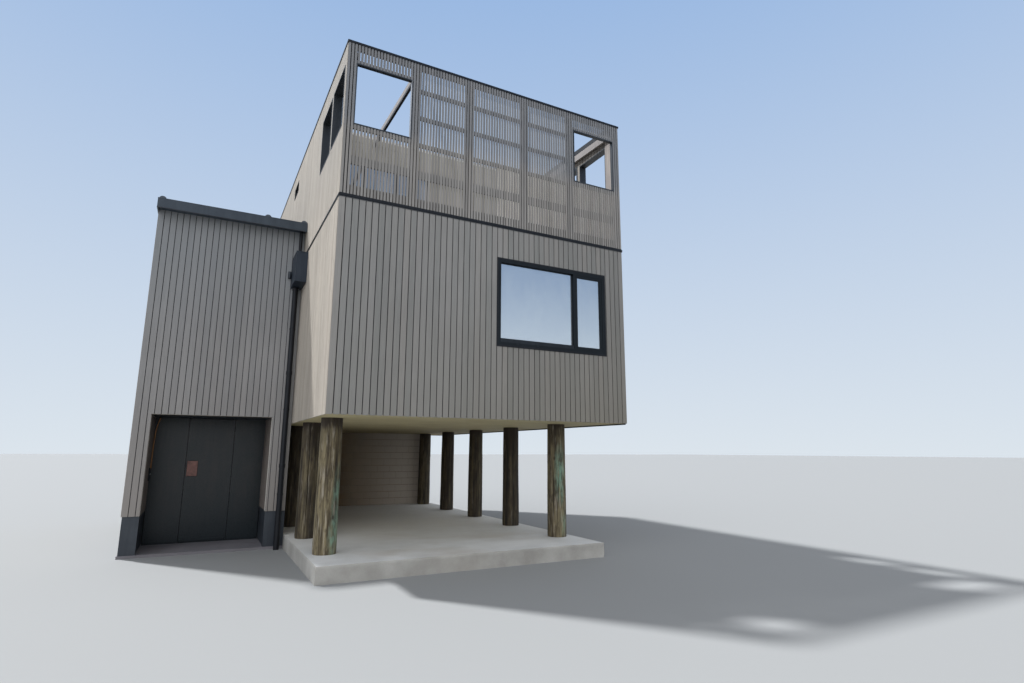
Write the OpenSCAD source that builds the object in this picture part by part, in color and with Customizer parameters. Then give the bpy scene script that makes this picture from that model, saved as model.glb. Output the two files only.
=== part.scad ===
// Beach house: a timber-clad box on round poles, with a roof deck behind a
// batten screen, and a two-storey entry wing beside it.
// X runs right along the front, Y into the house, Z up. While the pieces are
// drawn, zero is the main box's front left corner at the top of the carport slab.

/* [Main box] */
// Width of the main box across the front
box_w = 5862; // [5660:2:6200]
// Depth of the main box from front to back
box_d = 10240; // [9800:10:11000]
// Height of the soffit above the carport slab
soffit_z = 2230; // [2100:10:2500]
// Height of the joint between the cladding of the two storeys
joint_z = 5815; // [5600:5:6000]
// Height of the flashing in that joint
joint_h = 70; // [50:5:100]
// Height of the top edge at the front
top_z = 8725; // [8600:5:9000]
// Slope of the roof, which rises to the back, in degrees
roof_pitch = 2; // [0.5:0.5:4]
// Thickness of the clad framed walls
wall_t = 160; // [140:2:168]
// Thickness of the cladding boards
clad_t = 22; // [18:1:28]
// How far flashings stand out from the cladding
flash_proud = 10; // [8:1:15]
// Height of the capping on the parapets
cap_h = 40; // [30:5:60]
// How far the capping turns down inside the deck's side walls
cap_leg = 110; // [80:5:140]
// Clear gap where a wall meets its roof and where a rail meets a post
seat = 0.3; // [0.1:0.1:0.5]

/* [Floors and roof] */
// Depth of the carport slab down to the ground
slab_t = 260; // [220:10:300]
// How far the carport slab runs past the right row's centre line
slab_edge = 338; // [240:2:600]
// Thickness of the entry floor slab
entry_slab_t = 50; // [40:5:120]
// Thickness of the soffit lining
lining_t = 12; // [9:1:18]
// Depth of the main floor frame
main_floor_t = 290; // [240:10:340]
// Depth of the upper floor frame
upper_floor_t = 250; // [200:10:300]
// Thickness of the upper roof
roof_t = 200; // [150:10:260]
// How far the upper roof lies below the parapets
roof_drop = 50; // [45:5:100]

/* [Poles and block wall] */
// Number of poles in each row
pole_count = 5; // [4:1:6]
// Distance of the end poles' centres from the front and back of the box
pole_inset = 1105; // [1000:5:1250]
// Distance of the left row's centre line from the left face
left_row_x = 322; // [260:2:460]
// Distance of the right row's centre line from the right face
right_row_edge = 990; // [862:2:1200]
// Diameter of a pole at its foot
pole_d = 395; // [320:5:440]
// Diameter of a pole at its head
pole_head_d = 365; // [300:5:390]
// Clear gap between the last poles and the block wall
block_gap = 68; // [40:2:120]
// Thickness of the block wall
block_t = 190; // [150:5:240]

/* [Windows] */
// Distance of the front window from the right face
window_right = 472; // [396:2:700]
// Height of the window's underside above the main floor
window_sill = 1017; // [900:5:1100]
// Distance of the upper back window below the parapet
upper_window_drop = 496; // [420:2:600]
// Width of a window
window_w = 2466; // [2200:2:2500]
// Height of a window
window_h = 1685; // [1500:5:1750]
// Width of the bars of a window's frame
frame_bar = 84; // [60:2:100]
// Width of the upright bar between a window's two lights
mullion_w = 40; // [30:2:84]
// Depth of a window's frame
frame_d = 110; // [90:5:130]
// How far a window's frame stands out from the cladding
frame_proud = 6; // [2:1:8]
// Width of the narrow light at the right of a window
narrow_light_w = 733; // [600:1:800]
// Width of the bars of the sash in the narrow light
sash_bar = 46; // [30:2:60]
// Depth of the sash
sash_d = 60; // [50:5:80]
// Thickness of the glass
glass_t = 10; // [6:1:24]
// Distance of the high slot windows from the front
slot_y = 5650; // [5000:10:6000]
// Width of a slot window
slot_w = 700; // [500:10:900]
// Height of a slot window
slot_h = 300; // [240:10:320]
// Distance of a slot window's underside below the box's top edge at the front
slot_drop = 485; // [470:5:600]

/* [Batten screen] */
// Number of battens across the front
batten_count = 104; // [102:2:108]
// Width of a batten
batten_w = 38; // [26:1:44]
// Thickness of a batten
batten_t = 20; // [16:1:26]
// Battens over each corner
corner_battens = 3; // [3:1:5]
// Battens over each end opening
opening_battens = 18; // [15:1:19]
// Battens over each post
post_battens = 3; // [2:1:4]
// Battens in the bay beside each end bay
side_bay_battens = 16; // [14:1:18]
// Depth of the posts and beams behind the battens
post_d = 45; // [40:5:140]
// Height of the top beam
top_beam_h = 100; // [60:5:200]
// Height of the upstand beam at the deck's edge
upstand_h = 170; // [140:5:320]
// Height of a rail
rail_h = 70; // [45:5:80]
// Height of the lowest rail
first_rail_h = 150; // [70:5:180]
// Depth of a rail
rail_d = 45; // [30:1:60]
// Height of the lowest rail's centre above the upper floor
first_rail = 630; // [560:1:720]
// Distance of the highest rail's centre below the capping
last_rail = 524; // [500:2:600]
// Number of rails above the lowest one in a middle bay
upper_rails = 3; // [2:1:3]
// Distance between their centres
rail_pitch = 535; // [500:5:560]
// How deep a batten is housed into the rails
housing = 2; // [1:0.5:4]
// Thickness of the sheet behind the right half's lowest rows
sheet_t = 9; // [6:1:18]

/* [Deck openings] */
// Height of the openings' underside above the upper floor
open_sill = 1275; // [1260:5:1320]
// Distance of the openings' head below the box's top edge at the front
open_drop = 405; // [395:5:500]
// Distance of the left wall's first opening from the front
left_open_y = 140; // [135:1:260]
// Distance of the right wall's first opening from the front
right_open_y = 272; // [160:2:300]
// Width of a side opening
side_open_w = 990; // [850:10:1050]
// Width of wall between two side openings
side_open_gap = 115; // [80:5:200]
// Thickness of the linings in the openings
reveal_t = 20; // [12:1:30]
// How far a lining stands out from the cladding
reveal_proud = 5; // [2:1:8]

/* [Roof deck] */
// Distance of the deck room's front from the front of the box
room_y = 3120; // [3000:10:3600]
// Width of a deck beam
deck_beam_w = 50; // [40:5:80]
// Depth of a deck beam
deck_beam_h = 150; // [120:5:180]
// How far the deck beams lie below the parapets
deck_beam_drop = 150; // [145:5:200]
// Distance of the sliding doors from the left face
slider_x = 290; // [250:10:600]
// Width of the sliding doors
slider_w = 2350; // [1800:10:2450]
// Distance of the sliding doors' head below the roof
slider_drop = 400; // [300:5:500]
// Number of sliding panels
slider_panels = 3; // [2:1:4]
// Width of the bars of the sliding doors
slider_bar = 60; // [45:5:80]
// Depth of the sliding doors' frame
slider_d = 100; // [80:5:130]

/* [Entry wing] */
// Width of the entry wing
wing_w = 2810; // [2700:10:3200]
// Distance of the wing's front from the front of the box
wing_y = 3730; // [3600:10:4000]
// Height of the top of the wing's walls
wing_top = 6420; // [6300:5:6700]
// Thickness of the wing's roof
wing_roof_t = 120; // [80:5:140]
// How far the wing's roof oversails its front
eave = 265; // [150:5:350]
// Height of the roof's edge trim
fascia_h = 205; // [190:5:260]
// How far the trim's top stands above the roof
fascia_rise = 33; // [10:1:60]
// Thickness of the trim
fascia_t = 15; // [8:1:20]
// Radius of the round ribs on the roof
rib_r = 68; // [50:1:80]
// Distance of the middle rib from the wing's left face
middle_rib = 2007; // [1800:1:2100]
// How far the ribs show above the trim
rib_show = 47; // [20:1:60]
// Height of the cladding's bottom edge above the entry floor
plinth_h = 683; // [400:1:800]
// How far the plinth lies behind the cladding
plinth_set = 20; // [10:1:40]

/* [Entry door] */
// Width of the wall at the left of the recess
pier_w = 290; // [270:2:360]
// Distance of the recess's right side from the main box
recess_right = 378; // [320:2:500]
// Height of the recess above the entry floor
recess_h = 2557; // [2300:1:2700]
// Distance of the door behind the wing's front
door_back = 1363; // [900:1:1500]
// Thickness of the door and its side panels
door_t = 50; // [40:1:60]
// Width of the left side panel
side_panel_w = 630; // [500:5:700]
// Width of the door's own opening
door_w = 900; // [800:5:1000]
// Clear gap round the door
door_gap = 8; // [7:0.5:12]
// Thickness of the recess's side walls
recess_wall_t = 90; // [70:5:110]
// Thickness of the recess's ceiling
ceiling_t = 20; // [12:1:30]
// Width of the hand plate
plate_w = 200; // [150:5:260]
// Height of the hand plate
plate_h = 315; // [200:5:400]
// Thickness of the hand plate
plate_t = 12; // [4:1:16]
// Distance of the hand plate from the door's free edge
plate_edge = 26; // [6:1:60]
// Height of the hand plate's underside above the entry floor
plate_z = 1343; // [1000:1:1400]
// Radius of a hinge barrel
barrel_r = 9; // [7:0.5:11]
// Length of a hinge
hinge_l = 110; // [80:2:140]
// Gap between the two halves of a hinge
knuckle_gap = 0.3; // [0.1:0.1:0.5]
// Number of hinges
hinge_count = 3; // [2:1:4]
// Distance of the end hinges from the door's top and bottom
hinge_end = 220; // [150:5:350]

/* [Rainwater goods] */
// Width of the rainwater box
head_w = 225; // [170:5:260]
// Depth of the rainwater box
head_d = 680; // [400:5:700]
// Height of the rainwater box
head_h = 655; // [500:5:700]
// Height of its underside above the carport slab
head_z = 5124; // [5000:1:5150]
// Diameter of the downpipe
downpipe_d = 110; // [80:2:120]
// Distance of the downpipe's centre from the main box
downpipe_x = 137; // [80:1:150]
// Distance of the downpipe's centre from the wing's front
downpipe_y = 130; // [80:2:200]
// Diameter of the pipe that feeds the box
feed_d = 65; // [50:1:80]
// Distance of the feed pipe's centre from the main box
feed_x = 98; // [60:1:120]
// Length of the overflow spout
spout_l = 60; // [30:5:90]
// Distance of the top pipe clip below the rainwater box
clip_drop = 930; // [300:10:1200]
// Distance between the pipe clips
clip_pitch = 1700; // [1200:10:1900]

/* [Hidden] */
$fn = 48;
eps = 1;

cladding = "#7d7a76";
slate = "#2c333c";
dark_frame = "#23272c";
concrete = "#9a9d9c";
pole_wood = "#6f6253";
timber = "#75706a";

// Heights
ground_z = -slab_t;
entry_floor_z = ground_z + entry_slab_t;
main_floor_z = soffit_z + lining_t + main_floor_t;
window_z = main_floor_z + window_sill;
upper_floor_z = joint_z + joint_h;
upper_window_z = roof_z(box_d) - upper_window_drop - window_h;
screen_top_z = top_z - cap_h;
beam_under_z = screen_top_z - top_beam_h;
open_z = upper_floor_z + open_sill;
open_top_z = top_z - open_drop;
slot_z = top_z - slot_drop;
first_rail_z = upper_floor_z + first_rail;
last_rail_z = screen_top_z - last_rail;
slider_top_z = roof_z(room_y) - roof_drop - roof_t - slider_drop;
recess_top_z = entry_floor_z + recess_h;
plinth_top_z = entry_floor_z + plinth_h;
fascia_top_z = wing_top + wing_roof_t + fascia_rise;
fascia_under_z = fascia_top_z - fascia_h;
head_top_z = head_z + head_h;

// Places along the depth
pole_pitch = (box_d - 2 * pole_inset) / (pole_count - 1);
block_y = box_d - pole_inset + pole_d / 2 + block_gap;
slab_d = block_y + block_t;
fascia_y = wing_y - eave;
door_y = wing_y + door_back;
hinge_y = door_y + door_t + barrel_r + 3;

// Places across the front
right_row_x = box_w - right_row_edge;
slab_w = right_row_x + slab_edge;
window_x = box_w - window_right - window_w;
recess_left = wing_w - pier_w;
pitch = box_w / batten_count;
door_x0 = -recess_left + side_panel_w;
door_x1 = door_x0 + door_w;
hinge_x = door_x1 - door_gap / 2;
rib_x = [-wing_w + rib_r + 1, -wing_w + middle_rib, -rib_r - 1];

// Batten numbers where the posts start, counted from the left
post_1 = corner_battens + opening_battens;
post_2 = post_1 + post_battens + side_bay_battens;
post_3 = batten_count - post_2 - post_battens;
post_4 = batten_count - post_1 - post_battens;
post_starts = [post_1, post_2, post_3, post_4];

// Height of the parapets' top at a distance from the front
function roof_z(y) = top_z + y * tan(roof_pitch);

// The model's box and the point under its middle
x_min = -wing_w - fascia_t;
x_max = box_w + flash_proud;
y_min = -flash_proud;
y_max = box_d + max(fascia_t, flash_proud);
centre = [(x_min + x_max) / 2, (y_min + y_max) / 2, ground_z];

module place() translate(-centre) children();

// Box between two limits on each axis
module block(x0, x1, y0, y1, z0, z1)
    translate([x0, y0, z0]) cube([x1 - x0, y1 - y0, z1 - z0]);

// Wall whose top follows the roof, a drop below the parapets
module under_roof(x0, x1, y0, y1, z0, drop)
    translate([x0, 0, 0]) rotate([90, 0, 90]) linear_extrude(x1 - x0)
        polygon([[y0, z0], [y1, z0], [y1, roof_z(y1) - drop], [y0, roof_z(y0) - drop]]);

// Strip that follows the roof, with its top a drop below the parapets
module roof_strip(x0, x1, y0, y1, drop, h)
    translate([x0, 0, 0]) rotate([90, 0, 90]) linear_extrude(x1 - x0)
        polygon([
            [y0, roof_z(y0) - drop - h], [y1, roof_z(y1) - drop - h],
            [y1, roof_z(y1) - drop], [y0, roof_z(y0) - drop]
        ]);

// Copies what is drawn for the left side onto the right side of the main box
module mirror_right() translate([box_w, 0, 0]) mirror([1, 0, 0]) children();

// Ground

module carport_slab() color(concrete) block(0, slab_w, 0, slab_d, ground_z, 0);

module entry_slab() color(concrete)
    block(-wing_w, 0, wing_y, box_d, ground_z, entry_floor_z);

module block_wall() color("#6b655c")
    block(0, right_row_x + pole_d / 2, block_y, block_y + block_t, 0, soffit_z);

module poles() color(pole_wood)
    for (x = [left_row_x, right_row_x], i = [0:pole_count - 1])
        translate([x, pole_inset + i * pole_pitch, 0])
            cylinder(h = soffit_z, d1 = pole_d, d2 = pole_head_d);

// Windows, drawn from their lower left corner with Y into the wall

module at_windows() {
    translate([window_x, 0, window_z]) children();
    for (z = [window_z, upper_window_z])
        translate([box_w - window_x, box_d, z]) rotate([0, 0, 180]) children();
}

module at_slots() {
    translate([0, slot_y + slot_w, slot_z]) rotate([0, 0, -90]) children();
    mirror_right() translate([0, slot_y + slot_w, slot_z]) rotate([0, 0, -90]) children();
}

module window_hole() block(0, window_w, -2 * flash_proud, wall_t + eps, 0, window_h);

module window_frame() difference() {
    block(0, window_w, -frame_proud, frame_d, 0, window_h);
    wide_light(-flash_proud, frame_d + eps);
    narrow_light(-flash_proud, frame_d + eps);
}

module wide_light(y0, y1)
    block(frame_bar, window_w - narrow_light_w - mullion_w, y0, y1,
        frame_bar, window_h - frame_bar);

module narrow_light(y0, y1)
    block(window_w - narrow_light_w, window_w - frame_bar, y0, y1,
        frame_bar, window_h - frame_bar);

module window_sash() difference() {
    narrow_light(0, sash_d);
    sash_glass(-eps, sash_d + eps);
}

module sash_glass(y0, y1)
    block(window_w - narrow_light_w + sash_bar, window_w - frame_bar - sash_bar, y0, y1,
        frame_bar + sash_bar, window_h - frame_bar - sash_bar);

module slot_frame() difference() {
    block(0, slot_w, -reveal_proud, frame_d, 0, slot_h);
    slot_light(-flash_proud, frame_d + eps);
}

module slot_light(y0, y1)
    block(reveal_t, slot_w - reveal_t, y0, y1, reveal_t, slot_h - reveal_t);

module window_frames() color(dark_frame) {
    at_windows() window_frame();
    at_slots() slot_frame();
}

module window_sashes() color(dark_frame) at_windows() window_sash();

module window_glass() color("#a9bccb", 0.5) {
    at_windows() {
        wide_light((frame_d - glass_t) / 2, (frame_d + glass_t) / 2);
        sash_glass((sash_d - glass_t) / 2, (sash_d + glass_t) / 2);
    }
    at_slots() slot_light((frame_d - glass_t) / 2, (frame_d + glass_t) / 2);
    for (i = [0:slider_panels - 1])
        slider_light(i, (slider_d - glass_t) / 2, (slider_d + glass_t) / 2);
}

// Main storey

// Space that the soffit lining takes out of the walls' undersides
module soffit_space(z0)
    block(clad_t, box_w - clad_t, clad_t, box_d - clad_t, z0, soffit_z + lining_t);

module soffit_lining() color("#b5ad94") soffit_space(soffit_z);

module main_floor() color(timber)
    block(wall_t, box_w - wall_t, wall_t, box_d - wall_t, soffit_z + lining_t, main_floor_z);

module front_wall() color(cladding) difference() {
    block(0, box_w, 0, wall_t, soffit_z, joint_z);
    soffit_space(soffit_z - eps);
    at_windows() window_hole();
}

module back_wall() color(cladding) difference() {
    block(0, box_w, box_d - wall_t, box_d, soffit_z, joint_z);
    soffit_space(soffit_z - eps);
    at_windows() window_hole();
}

module left_wall() color(cladding) difference() {
    block(0, wall_t, wall_t, box_d - wall_t, soffit_z, joint_z);
    soffit_space(soffit_z - eps);
}

module right_wall() mirror_right() left_wall();

// Flashing and plate between the storeys, cut back where the wing meets it
module joint_flashing() color(slate) difference() {
    block(-flash_proud, box_w + flash_proud, -flash_proud, box_d + flash_proud,
        joint_z, upper_floor_z);
    block(wall_t, box_w - wall_t, wall_t, box_d - wall_t,
        joint_z - eps, upper_floor_z + eps);
    block(-2 * flash_proud, 0, wing_y, box_d + 2 * flash_proud,
        joint_z - eps, upper_floor_z + eps);
}

// Upper storey

module upper_floor() color(timber)
    block(wall_t, box_w - wall_t, wall_t, box_d - wall_t,
        upper_floor_z - upper_floor_t, upper_floor_z);

// Space between two depths in a side wall that its openings take, less a margin
module side_openings(y, x0, x1, margin)
    for (i = [0, 1]) {
        start = y + i * (side_open_w + side_open_gap);
        block(x0, x1, start + margin, start + side_open_w - margin,
            open_z + margin, open_top_z - margin);
    }

// Upper side wall on the left, with its first opening at a distance from the front
module upper_side_wall(y) difference() {
    under_roof(0, wall_t, batten_t, box_d - wall_t, upper_floor_z, cap_h + seat);
    side_openings(y, -eps, wall_t + eps, 0);
    block(-eps, wall_t + eps, slot_y, slot_y + slot_w, slot_z, slot_z + slot_h);
}

module upper_left_wall() color(cladding) upper_side_wall(left_open_y);

module upper_right_wall() color(cladding) mirror_right() upper_side_wall(right_open_y);

module upper_back_wall() color(cladding) difference() {
    under_roof(0, box_w, box_d - wall_t, box_d, upper_floor_z, cap_h + seat);
    at_windows() window_hole();
}

module side_linings(y) difference() {
    side_openings(y, -reveal_proud, wall_t, 0);
    side_openings(y, -2 * reveal_proud, wall_t + eps, reveal_t);
}

// Batten screen

module screen_beams() color(timber) {
    block(wall_t, box_w - wall_t, batten_t, batten_t + post_d, beam_under_z, screen_top_z);
    block(wall_t, box_w - wall_t, batten_t, batten_t + post_d,
        upper_floor_z, upper_floor_z + upstand_h);
}

module screen_posts() color(timber)
    for (p = post_starts)
        block(p * pitch, (p + post_battens) * pitch, batten_t, batten_t + post_d,
            upper_floor_z + upstand_h, beam_under_z);

module batten(i, z0, z1)
    block((i + 0.5) * pitch - batten_w / 2, (i + 0.5) * pitch + batten_w / 2,
        0, batten_t, z0, z1);

// Rail that the battens are housed into, between two places across the front
module rail(x0, x1, z, h)
    block(x0, x1, batten_t - housing, batten_t + rail_d, z - h / 2, z + h / 2);

// Height of a rail's centre in a middle bay, counted from the lowest rail
function rail_z(i) = i == 0 ? first_rail_z : last_rail_z - (upper_rails - i) * rail_pitch;

// Battens from one number up to another, all cut to the same heights
module battens(from, to, z0, z1)
    for (i = [from:to - 1]) batten(i, z0, z1);

// End bay, cut through by its opening
module screen_left_bay() color(timber) {
    battens(corner_battens, post_1, upper_floor_z, open_z);
    battens(corner_battens, post_1, open_top_z, screen_top_z);
    rail(wall_t, post_1 * pitch - seat, first_rail_z, first_rail_h);
    for (z = [open_z - rail_h / 2, open_top_z + rail_h / 2])
        rail(wall_t, post_1 * pitch - seat, z, rail_h);
}

module screen_right_bay() mirror_right() screen_left_bay();

module screen_middle_bays() color(timber)
    for (b = [0:2]) {
        from = post_starts[b] + post_battens;
        to = post_starts[b + 1];
        battens(from, to, upper_floor_z, screen_top_z);
        for (i = [0:upper_rails])
            rail(from * pitch + seat, to * pitch - seat, rail_z(i), i == 0 ? first_rail_h : rail_h);
    }

// Full-height battens over the posts and over the ends of the side walls
module post_battens() color(timber) {
    for (p = post_starts) battens(p, p + post_battens, upper_floor_z, screen_top_z);
    for (p = [0, batten_count - corner_battens])
        battens(p, p + corner_battens, upper_floor_z, screen_top_z);
}

// Sheet behind the right half's lowest rows, up to the top of the second rail
module screen_sheet() color("#c9c2b4")
    block(box_w / 2, box_w - wall_t, batten_t + post_d, batten_t + post_d + sheet_t,
        upper_floor_z, rail_z(1) + rail_h / 2);

// Lining of the left front opening, as deep as the battens and their rails
module front_lining() difference() {
    block(wall_t, post_1 * pitch, -reveal_proud, batten_t + rail_d, open_z, open_top_z);
    block(wall_t + reveal_t, post_1 * pitch - reveal_t, -2 * reveal_proud,
        batten_t + rail_d + eps, open_z + reveal_t, open_top_z - reveal_t);
}

module opening_linings() color(slate) {
    front_lining();
    mirror_right() front_lining();
    side_linings(left_open_y);
    mirror_right() side_linings(right_open_y);
}

// Roof deck and deck room

// Beam from the screen back to the deck room, starting at a place across the front
module deck_beam(x)
    roof_strip(x, x + deck_beam_w, batten_t + post_d, room_y, deck_beam_drop, deck_beam_h);

// One beam over the deck behind the first post and one along each side wall
module deck_beams() color(timber) {
    deck_beam((post_1 + post_battens / 2) * pitch - deck_beam_w / 2);
    deck_beam(wall_t);
    mirror_right() deck_beam(wall_t);
}

module room_front_wall() color("#b59c86") difference() {
    under_roof(wall_t, box_w - wall_t, room_y, room_y + wall_t,
        upper_floor_z, roof_drop + roof_t + seat);
    block(slider_x, slider_x + slider_w, room_y - eps, room_y + wall_t + eps,
        upper_floor_z - eps, slider_top_z);
}

// Clear width of one sliding panel's glass
slider_light_w = (slider_w - (slider_panels + 1) * slider_bar) / slider_panels;

module slider_light(i, y0, y1)
    block(slider_x + slider_bar + i * (slider_light_w + slider_bar),
        slider_x + (i + 1) * (slider_light_w + slider_bar),
        room_y + y0, room_y + y1,
        upper_floor_z + slider_bar, slider_top_z - slider_bar);

module sliding_doors() color(dark_frame) difference() {
    block(slider_x, slider_x + slider_w, room_y, room_y + slider_d,
        upper_floor_z, slider_top_z);
    for (i = [0:slider_panels - 1]) slider_light(i, -eps, slider_d + eps);
}

module upper_roof() color(slate)
    roof_strip(wall_t, box_w - wall_t, room_y, box_d - wall_t, roof_drop, roof_t);

module parapet_capping() color(slate) {
    difference() {
        roof_strip(-flash_proud, box_w + flash_proud, -flash_proud, box_d + flash_proud, 0, cap_h);
        block(wall_t + flash_proud, box_w - wall_t - flash_proud,
            wall_t + flash_proud, box_d - wall_t - flash_proud,
            screen_top_z - cap_h, roof_z(box_d) + cap_h);
    }
    capping_leg();
    mirror_right() capping_leg();
}

// Leg of the capping down the inside of the deck's left wall
module capping_leg()
    roof_strip(wall_t, wall_t + flash_proud, wall_t, room_y, 0, cap_leg);

// Entry wing

module entry_plinth() color("#2b3036") difference() {
    block(-wing_w + plinth_set, 0, wing_y + plinth_set, box_d - plinth_set,
        entry_floor_z, plinth_top_z);
    block(-wing_w + wall_t, -wall_t, wing_y + wall_t, box_d - wall_t,
        entry_floor_z - eps, plinth_top_z + eps);
    block(-recess_left, -recess_right, wing_y, wing_y + wall_t + eps,
        entry_floor_z - eps, plinth_top_z + eps);
}

module entry_piers() color(cladding) {
    block(-wing_w, -recess_left, wing_y, wing_y + wall_t, plinth_top_z, wing_top);
    block(-recess_right, 0, wing_y, wing_y + wall_t, plinth_top_z, wing_top);
}

module entry_over_door() color(cladding)
    block(-recess_left, -recess_right, wing_y, wing_y + wall_t, recess_top_z, wing_top);

module entry_left_wall() color(cladding)
    block(-wing_w, -wing_w + wall_t, wing_y + wall_t, box_d - wall_t, plinth_top_z, wing_top);

module entry_back_wall() color(cladding)
    block(-wing_w, 0, box_d - wall_t, box_d, plinth_top_z, wing_top);

// Wall between the wing's ground floor and the carport
module entry_side_wall() color(cladding)
    block(-wall_t, 0, wing_y + wall_t, box_d - wall_t, plinth_top_z, soffit_z + wall_t);

module recess_walls() color(cladding)
    for (x = [-recess_left - recess_wall_t, -recess_right])
        block(x, x + recess_wall_t, wing_y + wall_t, door_y + door_t,
            entry_floor_z, recess_top_z + ceiling_t);

module recess_ceiling() color("#4a4844")
    block(-recess_left, -recess_right, wing_y + wall_t, door_y + door_t,
        recess_top_z, recess_top_z + ceiling_t);

// Heights of the hinges' middles
hinge_z0 = entry_floor_z + hinge_end;
hinge_z1 = recess_top_z - hinge_end;
hinge_zs = [for (i = [0:hinge_count - 1]) hinge_z0 + i * (hinge_z1 - hinge_z0) / (hinge_count - 1)];

// Half a hinge, its barrel on the axis and its leaf on the door's inner face
module half_hinge(side, z) {
    half = (hinge_l - knuckle_gap) / 2;
    translate([hinge_x, hinge_y, z]) {
        cylinder(h = half, r = barrel_r);
        translate([side > 0 ? 0 : -4 * barrel_r, door_y + door_t - hinge_y, 0])
            cube([4 * barrel_r, hinge_y - door_y - door_t - barrel_r + 2, half]);
    }
}

module door_side_panels() color("#22292b") {
    block(-recess_left, door_x0, door_y, door_y + door_t, entry_floor_z, recess_top_z);
    block(door_x1, -recess_right, door_y, door_y + door_t, entry_floor_z, recess_top_z);
    for (z = hinge_zs) half_hinge(1, z - hinge_l / 2);
}

module entry_door() color("#22292b") {
    block(door_x0 + door_gap, door_x1 - door_gap, door_y, door_y + door_t,
        entry_floor_z + door_gap, recess_top_z - door_gap);
    for (z = hinge_zs) half_hinge(-1, z + knuckle_gap / 2);
}

module door_plate() color("#6d4b43")
    translate([door_x0 + door_gap + plate_edge, door_y - plate_t, entry_floor_z + plate_z])
        cube([plate_w, plate_t, plate_h]);

module entry_roof() color(slate) {
    block(-wing_w, 0, fascia_y + fascia_t, box_d, wing_top, wing_top + wing_roof_t);
    for (x = rib_x)
        translate([x, fascia_y + fascia_t, fascia_top_z + rib_show - rib_r])
            rotate([-90, 0, 0]) cylinder(h = box_d - fascia_y - fascia_t, r = rib_r);
}

// Edge trim round the wing's roof, open on the side of the main box
module entry_fascia() color(slate) difference() {
    block(-wing_w - fascia_t, 0, fascia_y, box_d + fascia_t, fascia_under_z, fascia_top_z);
    block(-wing_w, eps, fascia_y + fascia_t, box_d, fascia_under_z - eps, fascia_top_z + eps);
}

// Rainwater goods

module rain_head() color(slate) {
    block(-head_w, 0, wing_y - head_d, wing_y, head_z, head_top_z);
    translate([-head_w - spout_l, wing_y - feed_d, head_z + head_h / 3])
        rotate([0, 90, 0]) cylinder(h = spout_l + eps, d = feed_d);
}

// Clip that holds the downpipe to the wing's front
module pipe_clip(z) {
    translate([-downpipe_x, wing_y - downpipe_y, z]) {
        cylinder(h = 30, d = downpipe_d + 12);
        translate([-15, 0, 0]) cube([30, downpipe_y, 30]);
    }
}

module downpipe() color(slate) {
    translate([-downpipe_x, wing_y - downpipe_y, ground_z])
        cylinder(h = head_z - ground_z, d = downpipe_d);
    for (i = [0:2]) pipe_clip(head_z - clip_drop - i * clip_pitch);
    translate([-feed_x, fascia_y + eave / 2, head_top_z])
        cylinder(h = wing_top - head_top_z, d = feed_d);
}

place() carport_slab();
place() entry_slab();
place() block_wall();
place() poles();
place() soffit_lining();
place() main_floor();
place() front_wall();
place() left_wall();
place() right_wall();
place() back_wall();
place() window_frames();
place() window_sashes();
place() window_glass();
place() joint_flashing();
place() upper_floor();
place() upper_left_wall();
place() upper_right_wall();
place() upper_back_wall();
place() screen_beams();
place() screen_posts();
place() screen_left_bay();
place() screen_middle_bays();
place() screen_right_bay();
place() post_battens();
place() screen_sheet();
place() opening_linings();
place() deck_beams();
place() room_front_wall();
place() sliding_doors();
place() upper_roof();
place() parapet_capping();
place() entry_plinth();
place() entry_piers();
place() entry_over_door();
place() entry_left_wall();
place() entry_back_wall();
place() entry_side_wall();
place() recess_walls();
place() recess_ceiling();
place() door_side_panels();
place() entry_door();
place() door_plate();
place() entry_roof();
place() entry_fascia();
place() rain_head();
place() downpipe();
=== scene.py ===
import math
import random

import bpy
from mathutils import Matrix, Vector, noise


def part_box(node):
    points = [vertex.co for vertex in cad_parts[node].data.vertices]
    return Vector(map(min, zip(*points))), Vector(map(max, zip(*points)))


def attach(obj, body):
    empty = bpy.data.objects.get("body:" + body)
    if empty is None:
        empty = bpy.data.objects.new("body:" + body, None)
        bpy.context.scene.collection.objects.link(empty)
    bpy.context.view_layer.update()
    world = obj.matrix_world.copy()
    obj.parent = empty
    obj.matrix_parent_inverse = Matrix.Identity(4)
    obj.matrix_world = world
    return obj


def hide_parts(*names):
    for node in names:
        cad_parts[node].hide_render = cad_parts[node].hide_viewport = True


# Beach house on round poles: looks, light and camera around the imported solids.
# Sizes are in millimetres from the front left corner of the main box, at the height of the
# carport slab: X right, Y into the house, Z up. at() turns them into the model's metres.

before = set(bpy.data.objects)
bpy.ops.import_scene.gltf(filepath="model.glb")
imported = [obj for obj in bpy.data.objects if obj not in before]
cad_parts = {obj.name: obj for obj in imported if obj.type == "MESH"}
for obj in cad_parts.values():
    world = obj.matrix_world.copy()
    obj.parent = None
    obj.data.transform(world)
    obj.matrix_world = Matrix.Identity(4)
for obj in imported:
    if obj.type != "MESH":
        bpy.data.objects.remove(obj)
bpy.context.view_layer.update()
boxCorner = Vector((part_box("front_wall")[0].x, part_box("front_wall")[0].y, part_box("carport_slab")[1].z))


def at(x, y, z):
    return boxCorner + Vector((x, y, z)) / 1000


def sizeOf(node):  # lowest and highest corner of a solid
    low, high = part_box(node)
    return (Vector(low) - boxCorner) * 1000, (Vector(high) - boxCorner) * 1000


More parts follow.
